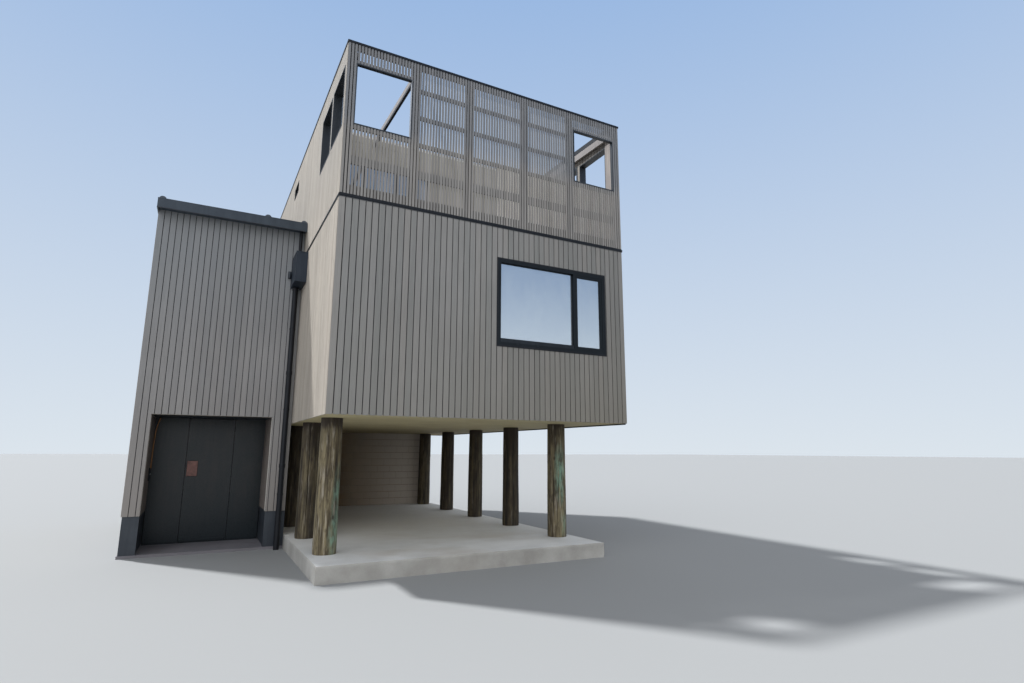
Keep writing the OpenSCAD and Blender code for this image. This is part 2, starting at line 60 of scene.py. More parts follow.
# Main sizes, read from the solids
wallLow, wallHigh = sizeOf("front_wall")
width, wall, depth = wallHigh.x, wallHigh.y, sizeOf("back_wall")[1].y
soffit, jointLow, deckTop = wallLow.z, wallHigh.z, sizeOf("upper_floor")[1].z
clad, liningTop = sizeOf("soffit_lining")[0].x, sizeOf("soffit_lining")[1].z
room = sizeOf("room_front_wall")[0].y
wingLow, wingHigh = sizeOf("entry_back_wall")
recessLow, recessHigh = sizeOf("entry_over_door")
wingLeft, wingFront = wingLow.x, recessLow.y
roof = {"pitch": math.radians(2), "front": 8725, "capping": 40.3}
roofSlope = math.tan(roof["pitch"])


def roofHeight(y):
    return roof["front"] + y * roofSlope


# Colours and materials

def toLinear(hexColour):
    channels = [int(hexColour[i:i + 2], 16) / 255 for i in (1, 3, 5)]
    return [c / 12.92 if c <= 0.04045 else ((c + 0.055) / 1.055) ** 2.4 for c in channels] + [1.0]


def addNode(tree, kind, values=None, links=None, ramp=None, **settings):
    node = tree.nodes.new("ShaderNode" + kind)
    for key, value in settings.items():
        setattr(node, key, value)
    for key, value in (values or {}).items():
        node.inputs[key].default_value = value
    for key, source in (links or {}).items():
        tree.links.new(source, node.inputs[key])
    if ramp:
        stops = node.color_ramp.elements
        while len(stops) < len(ramp):
            stops.new(0.5)
        for stop, (place, colour) in zip(stops, ramp):
            stop.position = place
            stop.color = toLinear(colour)
    return node


def newMaterial(name, roughness, colour="#808080", metallic=0.0, ior=None):
    material = bpy.data.materials.new(name)
    material.use_nodes = True
    tree = material.node_tree
    shader = tree.nodes["Principled BSDF"]
    shader.inputs["Base Color"].default_value = toLinear(colour)
    shader.inputs["Roughness"].default_value = roughness
    shader.inputs["Metallic"].default_value = metallic
    if ior:
        shader.inputs["IOR"].default_value = ior
    return material, tree, shader, addNode(tree, "TexCoord").outputs["Object"]


def addPattern(tree, vector, size, detail=3.0, roughness=0.55):  # size of a patch in millimetres, per axis
    size = size if isinstance(size, tuple) else (size, size, size)
    scaled = addNode(tree, "Mapping", {"Scale": [1000 / s for s in size]}, {"Vector": vector})
    return addNode(tree, "TexNoise", {"Scale": 1.0, "Detail": detail, "Roughness": roughness},
                   {"Vector": scaled.outputs[0]}).outputs["Fac"]


def addRange(tree, value, low, high, newLow, newHigh):
    return addNode(tree, "MapRange", {"From Min": low, "From Max": high, "To Min": newLow, "To Max": newHigh},
                   {"Value": value}).outputs[0]


def addMix(tree, share, first, second):
    node = addNode(tree, "Mix", data_type="RGBA")
    for key, value in ((0, share), (6, first), (7, second)):
        if isinstance(value, str):
            node.inputs[key].default_value = toLinear(value)
        elif isinstance(value, float):
            node.inputs[key].default_value = value
        else:
            tree.links.new(value, node.inputs[key])
    return node.outputs[2]


def addStain(tree, colour, value, low, high, first, last, tint):  # tint whose share follows a pattern
    return addMix(tree, addRange(tree, value, low, high, first, last), colour, tint)


def addRamp(tree, value, stops):
    return addNode(tree, "ValToRGB", links={0: value}, ramp=stops).outputs[0]


def addScaled(tree, colour, share):
    return addNode(tree, "VectorMath", links={0: colour, 3: share}, operation="SCALE").outputs[0]


def multiply(tree, first, second):
    return addNode(tree, "Math", links={0: first, 1: second}, operation="MULTIPLY").outputs[0]


# Product of fades along the house, each with its axis (3 is the height less the roof's slope), the
# places where it starts and ends, and its values there
def addFades(tree, *fades):
    axes = addNode(tree, "SeparateXYZ", links={0: addNode(tree, "TexCoord").outputs["Object"]}).outputs
    product = None
    for axis, start, end, first, last in fades:
        if axis < 3:
            source, start, end = axes[axis], at(start, start, start)[axis], at(end, end, end)[axis]
        else:
            source = addNode(tree, "Math", {1: -roofSlope}, {0: axes[1], 2: axes[2]},
                             operation="MULTIPLY_ADD").outputs[0]
            start, end = [at(0, 0, z).z - boxCorner.y * roofSlope for z in (start, end)]
        fade = addRange(tree, source, start, end, first, last)
        product = fade if product is None else multiply(tree, product, fade)
    return product


def dress(tree, shader, colour, height, millimetres, strength=0.6):  # colour and bump of a shader
    tree.links.new(colour, shader.inputs["Base Color"])
    bump = addNode(tree, "Bump", {"Strength": strength, "Distance": millimetres / 1000}, {"Height": height})
    tree.links.new(bump.outputs[0], shader.inputs["Normal"])


# Pine boards with a worn grey stain: matt, every board a tone of its own, fine long grain drawn a
# little coarse so that it shows, paler where the weather reaches
boardLook = {
    "tones": "#858584 #7d7e7d #8a8988 #808180 #8c8a88", "dark": "#626160", "pale": "#9a9896",
    "grain": 7, "grainShare": 0.45, "paleShare": 0.35, "roughness": 0.82, "pitch": 112.73,
}


def woodMaterial(name, look=None, along="Z", gridStart=None, railsBehind=None, **changes):
    finish = {**boardLook, **(look or {}), **changes}
    material, tree, shader, place = newMaterial(name, finish["roughness"])
    x, y, z = addNode(tree, "SeparateXYZ", links={0: place}).outputs
    lying = addNode(tree, "CombineXYZ", links={0: z, 1: y, 2: x}).outputs[0]
    if along == "X":
        place = lying
    if along == "Y":
        place = addNode(tree, "CombineXYZ", links={0: x, 1: z, 2: y}).outputs[0]
    if railsBehind:
        behind = addNode(tree, "Math", {1: railsBehind}, {0: y}, operation="GREATER_THAN").outputs[0]
        place = addNode(tree, "Mix", links={0: behind, 4: place, 5: lying}, data_type="VECTOR").outputs[1]
    if gridStart:
        shifted = addNode(tree, "VectorMath", {1: gridStart}, {0: place}, operation="SUBTRACT").outputs[0]
        pitch = finish["pitch"] / 1000
        snapped = addNode(tree, "VectorMath", {1: (pitch, pitch, 50)}, {0: shifted}, operation="SNAP").outputs[0]
        tone = addNode(tree, "TexWhiteNoise", links={"Vector": snapped}, noise_dimensions="3D")
    else:
        board = addNode(tree, "Attribute", attribute_name="board").outputs["Fac"]
        tone = addNode(tree, "TexWhiteNoise", links={"W": board}, noise_dimensions="1D")
    stops = finish["tones"].split()
    colour = addRamp(tree, tone.outputs["Value"], [(i / (len(stops) - 1), c) for i, c in enumerate(stops)])
    jumbled = addNode(tree, "VectorMath", {3: 9.0}, {0: tone.outputs["Color"]}, operation="SCALE").outputs[0]
    moved = addNode(tree, "VectorMath", links={0: place, 1: jumbled}, operation="ADD").outputs[0]
    grain = addPattern(tree, moved, (finish["grain"], finish["grain"], finish["grain"] * 45), 4.0, 0.6)
    colour = addStain(tree, colour, grain, 0.45, 0.8, 0.0, finish["grainShare"], finish["dark"])
    streaks = addPattern(tree, moved, (45, 45, 900), 3.0)
    colour = addStain(tree, colour, streaks, 0.5, 0.85, 0.0, finish["paleShare"], finish["pale"])
    weather = addPattern(tree, place, (1100, 1100, 1500), 2.0)
    colour = addScaled(tree, colour, addRange(tree, weather, 0.3, 0.7, 0.93, 1.05))
    # what lies behind the battens drops to 0.4 of its colour: painted shade
    if railsBehind:
        colour = addScaled(tree, colour, addRange(tree, behind, 0, 1, 1.0, 0.4))
    if "dulledFrom" in finish:  # painted shade: the shaded end is a little darker
        colour = addScaled(tree, colour, addFades(tree, (0, finish["dulledFrom"], width, 1.0, 0.86)))
    dress(tree, shader, colour, grain, 1.2, 0.35)
    return material


# Sheet metal and aluminium with baked paint: satin, even, with faint dust run down it; on the door these patches are
# also a painted brownish sheen
def paintMaterial(name, colour, dustAndSheen, roughness, dustAndSheenShare=0.35, sheen=1.5, waves=0.4):
    material, tree, shader, place = newMaterial(name, roughness, colour, ior=sheen)
    both = multiply(tree, addPattern(tree, place, (70, 70, 900), 3.0), addPattern(tree, place, 420, 4.0))
    fine = addPattern(tree, place, 9, 2.0)
    tree.links.new(addRange(tree, fine, 0.3, 0.7, roughness - 0.05, roughness + 0.07), shader.inputs["Roughness"])
    dress(tree, shader, addMix(tree, addRange(tree, both, 0.16, 0.42, 0.0, dustAndSheenShare), colour, dustAndSheen),
          addPattern(tree, place, (260, 260, 700), 1.0), waves, 0.5)
    return material


# Rolled or sprayed mineral finishes: matt, cloudy, with a fine tooth
def plasterMaterial(name, colour, shade, roughness, patch, tooth, toothDepth):
    material, tree, shader, place = newMaterial(name, roughness, colour)
    cloud = addRange(tree, addPattern(tree, place, patch, 5.0), 0.35, 0.7, 1.0, 0.0)
    dress(tree, shader, addMix(tree, cloud, colour, shade), addPattern(tree, place, tooth, 2.0), toothDepth)
    return material


# paler, warmer tones of the sunny walls: partly sun bleaching, partly painted sunlight
sunlitSideLook = {"tones": "#a59d93 #9b948a #aca499 #a0998f #aea59a", "dark": "#6f685f", "pale": "#c6bdb0",
            "grainShare": 0.75, "paleShare": 0.65}
# dark tones of the screen's beams and posts: partly their own colour, partly painted shade behind the battens
frameLook = {"tones": "#4c4945 #55514d #47443f", "dark": "#37342f", "pale": "#615d57", "grain": 5}
corner = at(0, 0, 0)
frontBoards = woodMaterial("greyStainedPineBoards", dulledFrom=2600)
wingBoards = woodMaterial("wingPineBoards", tones="#898888 #828283 #8e8d8d #858586 #91908f", dark="#666566",
                          pale="#999898")
sideBoards = woodMaterial("bleachedSunlitPineBoards", sunlitSideLook)
screenBattens = woodMaterial("roughSawnBattens", gridStart=at(0, -30, -20000), railsBehind=at(0, 21, 0).y,
                             tones="#817f7d #888684 #8f8d8b #7b7977 #93908d", dark="#5f5d5c", pitch=56.365, grain=5)
screenFrame = woodMaterial("screenFrameTimber", frameLook, "X", corner, pitch=900)
screenPosts = woodMaterial("screenPostTimber", frameLook, gridStart=corner, pitch=1100)
# darker, browner copy of the cladding: painted shade of the recess
shadedRevealBoards = woodMaterial("recessSideBoards", tones="#6f6661 #67605b #766d67", dark="#4f4844", pale="#857b74")
headBoards = woodMaterial("shadedHeadBoards", tones="#6a6560 #5f5b56 #736e68")
cornerTimber = woodMaterial("planedCornerTimber", sunlitSideLook, gridStart=at(0, 0, -9000),
                            tones="#88827f #8e8886 #827c7a", grainShare=0.2, pitch=9000)
deckBeamTimber = woodMaterial("bareDeckBeamTimber", None, "Y", corner, tones="#8d8989 #969291 #868282",
                              dark="#6d6968", pale="#a5a1a0", pitch=9000)
deckTimber = woodMaterial("deckPineBoards", None, "X", tones="#857c72 #8d8478 #7d756b #938a7e", dark="#5f574e",
                          pale="#a39b90")
floorTimber = woodMaterial("oiledFloorBoards", None, "Y", corner, tones="#8d7354 #9a7f5e #a58a69", dark="#6c563d",
                           pale="#b39a79", roughness=0.5, pitch=130)

slateSteel = paintMaterial("slateRoofingSteel", "#323b46", "#59626b", 0.42)
fasciaSteel = paintMaterial("slateFasciaSteel", "#1f2b36", "#414c56", 0.45)
darkSteel = paintMaterial("navyRainwaterSteel", "#191f27", "#373e46", 0.42, 0.3)
trimSteel = paintMaterial("nearBlackTrimSteel", "#0f1116", "#2a2d32", 0.5, 0.3, 1.35)
tankSteel = paintMaterial("slateTankSteel", "#1e2834", "#3a434e", 0.45, 0.3, 1.4)
lipSteel = paintMaterial("greyTrimLip", "#3a3d41", "#55585b", 0.5)
liningSteel = paintMaterial("openingLiningSteel", "#1c2126", "#3a3f45", 0.45, 0.25)
windowPaint = paintMaterial("powderCoatedAluminium", "#10161b", "#222a31", 0.55, 0.25, 1.3, 0.1)
beadPaint = paintMaterial("glazingBeads", "#171d23", "#343b43", 0.5, 0.3, 1.35, 0.1)
# the door's brownish patches: dust and a painted sheen
doorPaint = paintMaterial("slateGreenDoorPaint", "#1b2123", "#35302f", 0.3, 0.5, 1.4, 0.5)
plinthSteel = paintMaterial("plinthSheet", "#262c34", "#4a5056", 0.5)
rubberBlack = paintMaterial("glazingRubber", "#0c0d0f", "#222426", 0.65, 0.3, 1.35, 0.1)
copperPipe = paintMaterial("lacqueredCopperPipe", "#8f6236", "#6b4627", 0.35, 0.5)
soffitPaint = plasterMaterial("paintedSoffitSheet", "#cbbf95", "#beb188", 0.75, 900, 3, 0.15)
roomPlaster = plasterMaterial("whitePaintedLining", "#dad7d0", "#cfccc4", 0.7, 700, 3, 0.1)
creamSheet = plasterMaterial("khakiPaintedSheet", "#aaa597", "#9d988a", 0.7, 600, 4, 0.2)
headTrimPaint = plasterMaterial("khakiTrimPaint", "#b3aa92", "#a39a83", 0.6, 300, 3, 0.15)
palePaint = plasterMaterial("whiteFasciaPaint", "#e6e6e2", "#d8d8d3", 0.5, 500, 3, 0.1)
mortar = plasterMaterial("greyMortar", "#7a7062", "#6a6053", 0.95, 120, 4, 1.2)


# Dark backing seen through the board gaps, painted shade for the shadow deep in the gaps: matt, lets no light through
def gapShadeMaterial():
    material, tree, shader, place = newMaterial("boardGapShade", 0.95, "#2c2d2f")
    cloud = addRange(tree, addPattern(tree, place, 60), 0.3, 0.7, 0.0, 1.0)
    tree.links.new(addMix(tree, cloud, "#28292b", "#363739"), shader.inputs["Base Color"])
    return material


# Coated double glazing: mirrors the sky at every angle, its blue-grey colour a painted sky reflection that turns paler
# toward the foot of the lower panes; a little light comes through, a patchy haze of dried salt spray dulls it, and the
# sliding doors get painted roof shade
def glassMaterial():
    material, tree, shader, place = newMaterial("skyTintedCoatedGlass", 0.03, "#a9b6c2", 0.85)
    shader.inputs["Alpha"].default_value = 0.9
    haze = addPattern(tree, place, (300, 300, 500), 3.0)
    colour = addMix(tree, addRange(tree, haze, 0.35, 0.75, 0.0, 0.5), "#b4c2d2", "#ccd5dc")
    # paler toward the foot of the main storey's panes: painted reflection of the bright low sky
    colour = addMix(tree, addFades(tree, (2, 3600, 5100, 0.9, 0.0)), colour, "#e9eef0")
    # the sliding doors under the roof drop to 0.6 of the colour: painted shade
    inRoom = addFades(tree, (1, 2000, 2050, 0.0, 1.0), (1, 4450, 4500, 1.0, 0.0))
    tree.links.new(addRange(tree, haze, 0.35, 0.75, 0.02, 0.09), shader.inputs["Roughness"])
    dress(tree, shader, addScaled(tree, colour, addRange(tree, inRoom, 0, 1, 1.0, 0.6)),
          addPattern(tree, place, 650, 1.0), 0.6, 0.25)  # panes are never quite flat
    return material


# Trowelled concrete, a few years old: pale grey, cloudy, brown stains, fine sand speckle
def concreteMaterial(name, pale, dark, stain, stainShare, soil=None):
    material, tree, shader, place = newMaterial(name, 0.78, pale)
    cloud = addPattern(tree, place, 700, 6.0, 0.6)
    colour = addMix(tree, addRange(tree, cloud, 0.32, 0.68, 0.0, 1.0), dark, pale)
    stains = addPattern(tree, place, (1900, 1300, 1300), 4.0)
    colour = addStain(tree, colour, stains, 0.5, 0.72, 0.0, stainShare, stain)
    if soil:  # paler deeper under the house, which is painted light, and a brown film toward the back left
        colour = addMix(tree, addFades(tree, (1, 1200, 4500, 0.0, 0.6)), colour, "#f2f2ef")
        colour = addMix(tree, addFades(tree, (1, 1500, 7000, 0.0, 0.55), (0, 1200, 4400, 1.0, 0.0)), colour, soil)
    speckle = addPattern(tree, place, 6, 2.0, 0.7)
    colour = addScaled(tree, colour, addRange(tree, speckle, 0.25, 0.75, 0.88, 1.1))
    tree.links.new(addRange(tree, cloud, 0.3, 0.7, 0.7, 0.88), shader.inputs["Roughness"])
    dress(tree, shader, colour, speckle, 1.0, 0.4)
    return material


# Opal plastic sheet: light that falls on its back glows through, softly clouded
def opalMaterial():
    material, tree, shader, place = newMaterial("opalSheet", 0.55, "#f4f0e8")
    cloud = addRange(tree, addPattern(tree, place, 320, 3.0), 0.3, 0.7, 0.0, 1.0)
    colour = addMix(tree, cloud, "#e4e0d9", "#f0ede8")
    tree.links.new(colour, shader.inputs["Base Color"])
    through = addNode(tree, "BsdfTranslucent", links={"Color": colour})
    mixed = addNode(tree, "MixShader", {0: 0.85}, {1: shader.outputs[0], 2: through.outputs[0]})
    tree.links.new(mixed.outputs[0], tree.nodes["Material Output"].inputs["Surface"])
    return material


# Hollow blocks of grey concrete: sandy, pitted, damp stains from the top and the ground; paler toward the wall's open
# end, which is painted daylight falling in there
def blockMaterial():
    material, tree, shader, place = newMaterial("concreteBlocks", 0.92, "#807a70")
    board = addNode(tree, "Attribute", attribute_name="board").outputs["Fac"]
    tone = addNode(tree, "TexWhiteNoise", links={"W": board}, noise_dimensions="1D").outputs["Value"]
    colour = addRamp(tree, tone, [(0.0, "#75644c"), (0.4, "#786750"), (0.75, "#7a6a54"), (1.0, "#73624b")])
    damp = addPattern(tree, place, (500, 500, 1100), 4.0)
    colour = addStain(tree, colour, damp, 0.45, 0.75, 0.0, 0.6, "#5f584f")
    pits = addPattern(tree, place, 7, 3.0, 0.7)
    colour = addScaled(tree, colour, addRange(tree, pits, 0.3, 0.7, 0.8, 1.12))
    # painted daylight: paler toward the open end
    colour = addMix(tree, addFades(tree, (0, 2300, 4300, 0.0, 1.0)), addMix(tree, 0.08, colour, "#000000"), "#b3aaa0")
    dress(tree, shader, colour, pits, 2.0)
    return material


# Round poles of treated pine, peeled and drying: checks and stains run along the grain, old preservative shows green;
# the checks and the heads under the soffit get painted shade, and the poles under the house are darker, partly less
# weathered and partly painted shade
def poleMaterial():
    material, tree, shader, place = newMaterial("peeledPinePole", 0.8, "#6d6454")
    weatheredAndLit, green, check, dark = [addNode(tree, "Attribute", attribute_name=n).outputs["Fac"]
                                     for n in ("weatheredAndLit", "green", "check", "dark")]
    broad = addPattern(tree, place, (62, 62, 900), 4.0, 0.6)
    fine = addPattern(tree, place, (9, 9, 260), 4.0, 0.65)
    patch = addPattern(tree, place, (50, 50, 210), 4.0, 0.65)
    blotch = addPattern(tree, place, (105, 105, 330), 4.0, 0.6)
    silver = addPattern(tree, place, (38, 38, 420), 3.0, 0.6)
    brown = addRamp(tree, broad, [(0.32, "#090604"), (0.46, "#150f08"), (0.58, "#3c3120"), (0.72, "#1c140b")])
    pale = addRamp(tree, broad, [(0.32, "#33291a"), (0.44, "#5f553f"), (0.57, "#8c8163"), (0.74, "#50452f")])
    colour = addStain(tree, addMix(tree, weatheredAndLit, brown, pale), fine, 0.5, 0.72, 0.0, 0.75, "#3a2f24")
    growth = multiply(tree, green, addRange(tree, patch, 0.38, 0.62, 0.15, 1.0))
    colour = addMix(tree, growth, colour, addMix(tree, fine, "#587867", "#8aa995"))
    colour = addStain(tree, colour, blotch, 0.5, 0.62, 0.0, 0.6, "#2e2418")
    # painted shade at the heads under the soffit
    colour = addMix(tree, addFades(tree, (2, 1500, 2200, 0.0, 0.6)), colour, "#241a10")
    bleached = multiply(tree, weatheredAndLit, addRange(tree, silver, 0.56, 0.7, 0.0, 0.8))
    # the dark attribute is painted shade at the head, the check attribute painted shade in the checks
    for share, tint in ((bleached, "#a59d8f"), (dark, "#2b2118"), (check, "#17110c")):
        colour = addMix(tree, share, colour, tint)
    spots = addNode(tree, "Mapping", {"Scale": (4.5, 4.5, 2.4)}, {"Vector": place}).outputs[0]
    knots = addNode(tree, "TexVoronoi", {"Scale": 1.0}, {"Vector": spots})
    colour = addStain(tree, colour, knots.outputs["Distance"], 0.05, 0.13, 0.8, 0.0, "#2c2017")
    dress(tree, shader, colour, fine, 3.0, 0.7)
    return material


# Copper sheet, browned by handling and sea air, with a brushed line across it
def copperMaterial():
    material, tree, shader, place = newMaterial("brownedCopper", 0.42, "#6d4b43", 0.5)
    bloom = addPattern(tree, place, 55, 5.0, 0.6)
    tree.links.new(addRange(tree, bloom, 0.35, 0.7, 0.32, 0.5), shader.inputs["Roughness"])
    dress(tree, shader, addMix(tree, addRange(tree, bloom, 0.35, 0.7, 0.0, 1.0), "#75524a", "#57403a"),
          addPattern(tree, place, (60, 60, 1.2), 2.0), 0.15, 0.4)
    return material


gapShade, glass, privacySheet, copper = gapShadeMaterial(), glassMaterial(), opalMaterial(), copperMaterial()
blockFace, polePine = blockMaterial(), poleMaterial()
slabConcrete = concreteMaterial("trowelledConcrete", "#d2d4d6", "#c1c3c4", "#a39a8e", 0.45, "#85786a")
edgeConcrete = concreteMaterial("formedConcreteEdge", "#b9b8b4", "#96948f", "#7e786e", 0.5)
entryConcrete = concreteMaterial("darkOxideConcrete", "#79777c", "#67656a", "#6f665f", 0.5)

sunlitJamb = 21 * width / 104 - 20  # the left opening's right jamb stands in the sun: its lining gets a pale strip of painted sunlight
for material, tint, *fades in (
        (deckBeamTimber, "#1b2129", (3, 8478, 8482, 1.0, 0.0), (0, 2900, 3000, 1.0, 0.0)),  # painted shade on the lower part of the left deck beam
        # blue-grey on the upper battens: painted sky light
        (screenBattens, "#5c6674", (2, 7050, 7350, 0.0, 0.42)),
        # warmer and darker low down and toward the right: painted shade
        (frontBoards, "#7b766a", (2, 2300, 4600, 0.6, 0.1), (0, 0, 5000, 0.4, 1.0)),
        (sideBoards, "#87837d", (2, 5900, 7300, 0.0, 0.6), (1, 1200, 3400, 1.0, 0.3)),
        # darker deeper under the house: painted shade
        (soffitPaint, "#7b6b42", (1, 4200, 7600, 0.0, 0.8)),
        (liningSteel, "#8f9297", (0, sunlitJamb - 5, sunlitJamb - 4, 0.0, 1.0), (0, sunlitJamb + 4, sunlitJamb + 5, 1.0, 0.0),
         (1, 90, 100, 1.0, 0.0)),
        (doorPaint, "#0b171d", (2, 100, 1150, 0.88, 0.0)),
        (wingBoards, "#857b72", (2, 300, 3200, 0.5, 0.0)),
        # blue-grey high up under the fascia: painted shade
        (wingBoards, "#777f86", (2, 3600, 5600, 0.0, 0.45))):
    paint = material.node_tree.nodes["Principled BSDF"].inputs["Base Color"]
    material.node_tree.links.new(addMix(material.node_tree, addFades(material.node_tree, *fades),
                                        paint.links[0].from_socket, tint), paint)

for material, names in (
        (soffitPaint, "soffit_lining"), (floorTimber, "main_floor"), (glass, "window_glass"),
        (windowPaint, "window_frames window_sashes sliding_doors"), (screenFrame, "screen_beams"),
        (screenPosts, "screen_posts"), (privacySheet, "screen_sheet"), (deckBeamTimber, "deck_beams"),
        (screenBattens, "screen_left_bay screen_middle_bays screen_right_bay post_battens"),
        (liningSteel, "opening_linings"), (creamSheet, "room_front_wall"), (slateSteel, "upper_roof entry_roof"),
        (trimSteel, "parapet_capping downpipe"), (plinthSteel, "entry_plinth recess_ceiling"),
        (doorPaint, "door_side_panels entry_door"), (entryConcrete, "entry_slab")):
    for name in names.split():
        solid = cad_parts[name].data
        solid.materials.clear()
        solid.materials.append(material)
print("materials on the solids")


# Modelling helpers

def deselectAll():
    if bpy.context.object and bpy.context.object.mode != "OBJECT":
        bpy.ops.object.mode_set(mode="OBJECT")
    bpy.ops.object.select_all(action="DESELECT")


def makeActive(piece):
    deselectAll()
    piece.select_set(True)
    bpy.context.view_layer.objects.active = piece


def editPart(piece, test=None):  # opens edit mode with the faces that pass the test selected
    makeActive(piece)
    bpy.context.tool_settings.mesh_select_mode = (False, False, True)
    bpy.ops.object.mode_set(mode="EDIT")
    bpy.ops.mesh.select_all(action="DESELECT" if test else "SELECT")
    if test:
        bpy.ops.object.mode_set(mode="OBJECT")
        for face in piece.data.polygons:
            face.select = test(face)
        bpy.ops.object.mode_set(mode="EDIT")


def closeEdit():
    bpy.ops.object.mode_set(mode="OBJECT")


def applyModifiers(piece):
    makeActive(piece)
    for modifier in list(piece.modifiers):
        bpy.ops.object.modifier_apply(modifier=modifier.name)


def bevelEdges(piece, width, segments=1, test=None):
    editPart(piece, test)
    bpy.ops.mesh.bevel(offset=width / 1000, segments=segments, affect="EDGES")
    closeEdit()


def settle(name, material, edge):  # names the new primitive, fixes its place and rounds its edges
    piece = bpy.context.object
    piece.name = name
    bpy.ops.object.transform_apply(location=True, rotation=True, scale=True)
    if material:
        piece.data.materials.append(material)
    if edge:
        bevelEdges(piece, edge)
    return piece


def addBlock(name, low, high, material=None, edge=0):
    deselectAll()
    low, high = at(*low), at(*high)
    bpy.ops.mesh.primitive_cube_add(size=1, location=(low + high) / 2, scale=high - low)
    return settle(name, material, edge)


def addRod(name, start, end, radius, material=None, edge=0, sides=24):
    deselectAll()
    start, end = at(*start), at(*end)
    bpy.ops.mesh.primitive_cylinder_add(vertices=sides, radius=radius / 1000, depth=(end - start).length,
                                        location=(start + end) / 2,
                                        rotation=(end - start).to_track_quat("Z", "Y").to_euler())
    piece = settle(name, material, 0)
    if edge:
        ends = (end - start).normalized()
        bevelEdges(piece, edge, 2, lambda face: abs(face.normal.dot(ends)) > 0.9)
    makeActive(piece)
    bpy.ops.object.shade_smooth_by_angle(angle=math.radians(40))
    return piece


def addFrame(name, low, high, bar, material, axis=1, edge=0):  # a block with a hole along an axis
    piece = addBlock(name, low, high, material)
    editPart(piece, lambda face: abs(face.normal[axis]) > 0.9)
    bpy.ops.mesh.inset(thickness=bar / 1000, use_individual=True)
    bpy.ops.mesh.bridge_edge_loops()
    closeEdit()
    if edge:
        bevelEdges(piece, edge)
    return piece


def repeatAlong(piece, step, count):
    if count > 1:
        row = piece.modifiers.new("row", "ARRAY")
        row.use_relative_offset = False
        row.use_constant_offset = True
        row.constant_offset_displace = Vector(step) / 1000
        row.count = count
        applyModifiers(piece)


def bisectAway(piece, point, normal):  # cuts off what lies beyond a plane
    editPart(piece)
    bpy.ops.mesh.bisect(plane_co=at(*point), plane_no=normal, use_fill=True, clear_outer=True)
    closeEdit()


def cutAway(piece, low, high):
    cutter = addBlock("cutter", low, high)
    cut = piece.modifiers.new("cut", "BOOLEAN")
    cut.operation = "DIFFERENCE"
    cut.solver = "EXACT"
    cut.object = cutter
    applyModifiers(piece)
    bpy.data.objects.remove(cutter)


def hollowOut(piece, end, sheet, move):  # opens the end that faces up (1) or down (-1)
    editPart(piece, lambda face: face.normal.z * end > 0.9)
    bpy.ops.mesh.inset(thickness=sheet / 1000)
    bpy.ops.mesh.extrude_region_move(TRANSFORM_OT_translate={"value": (0, 0, move / 1000)})
    closeEdit()


def joinPieces(name, pieces):
    deselectAll()
    for piece in pieces:
        piece.select_set(True)
    bpy.context.view_layer.objects.active = pieces[0]
    if len(pieces) > 1:
        bpy.ops.object.join()
    joined = bpy.context.object
    joined.name = name
    return joined


def put(name, pieces, slotName, *nodes, body="house"):
    piece = joinPieces(name, pieces)
    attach(piece, body)
    if nodes:
        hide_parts(*nodes)


# Vertical boards in shiplap: each one bevelled, with a shadow gap between them down to the dark backing of painted
# shade
boarding = {"gap": 15, "wingGap": 12, "edgeRound": 1.5, "mainBoards": 52, "sideBoards": 91, "wingBoards": 25}
mainPitch, sidePitch = width / boarding["mainBoards"], depth / boarding["sideBoards"]
wingPitch = -wingLeft / boarding["wingBoards"]
wallCount = 0


def layBoards(axis, outer, facing, start, end, bottom, top, origin, pitch, material):
    inner = outer - facing * clad
    gap = boarding["wingGap" if pitch == wingPitch else "gap"]
    first = math.floor((start - origin) / pitch + 0.001)
    last = math.ceil((end - origin) / pitch - 0.001)
    edge = origin + first * pitch + gap / 2
    low, high = [min(outer, inner)] * 2 + [bottom], [max(outer, inner)] * 2 + [top]
    low[axis], high[axis] = edge, edge + pitch - gap
    row = addBlock("boards", low, high, material, boarding["edgeRound"])
    step, point, ahead = [0, 0, 0], [0, 0, 0], Vector((0, 0, 0))
    step[axis], ahead[axis] = pitch, 1
    repeatAlong(row, step, last - first)
    if origin + last * pitch - gap / 2 > end:
        point[axis] = end
        bisectAway(row, point, ahead)
    if edge < start:
        point[axis] = start
        bisectAway(row, point, -ahead)
    row["boards"] = [axis, origin, pitch]
    return row


def numberBoards(row, wallNumber):  # every board gets a number that its colour comes from
    axis, origin, pitch = row["boards"]
    axis = int(axis)
    start = at(origin, origin, origin)[axis]
    layer = row.data.attributes.new("board", "FLOAT", "FACE")
    numbers = [math.floor((f.center[axis] - start) * 1000 / pitch) + 0.5 + wallNumber * 200 for f in row.data.polygons]
    layer.data.foreach_set("value", numbers)
    del row["boards"]


def joinWall(name, core, rows, holes=(), slopes=False):
    global wallCount
    for part in [core] + rows:
        for low, high in holes:
            cutAway(part, low, high)
        if slopes:
            bisectAway(part, (0, 0, roof["front"] - roof["capping"]),
                       (0, -math.sin(roof["pitch"]), math.cos(roof["pitch"])))
    for row in rows:
        if "boards" in row:
            wallCount += 1
            numberBoards(row, wallCount)
    return joinPieces(name, [core] + rows)


def finishWall(name, node, core, rows, holes=(), slopes=False):
    put(name, [joinWall(name, core, rows, holes, slopes)], "cladding", node)


def addCore(low, high, outward, lined=True):  # what stands behind the boards, with the dark backing of painted shade on all but its inner face
    core = addBlock("core", low, high, roomPlaster if lined else gapShade)
    if lined:
        core.data.materials.append(gapShade)
        for face in core.data.polygons:
            face.material_index = int(face.normal.dot(Vector(outward)) > -0.5)
    return core


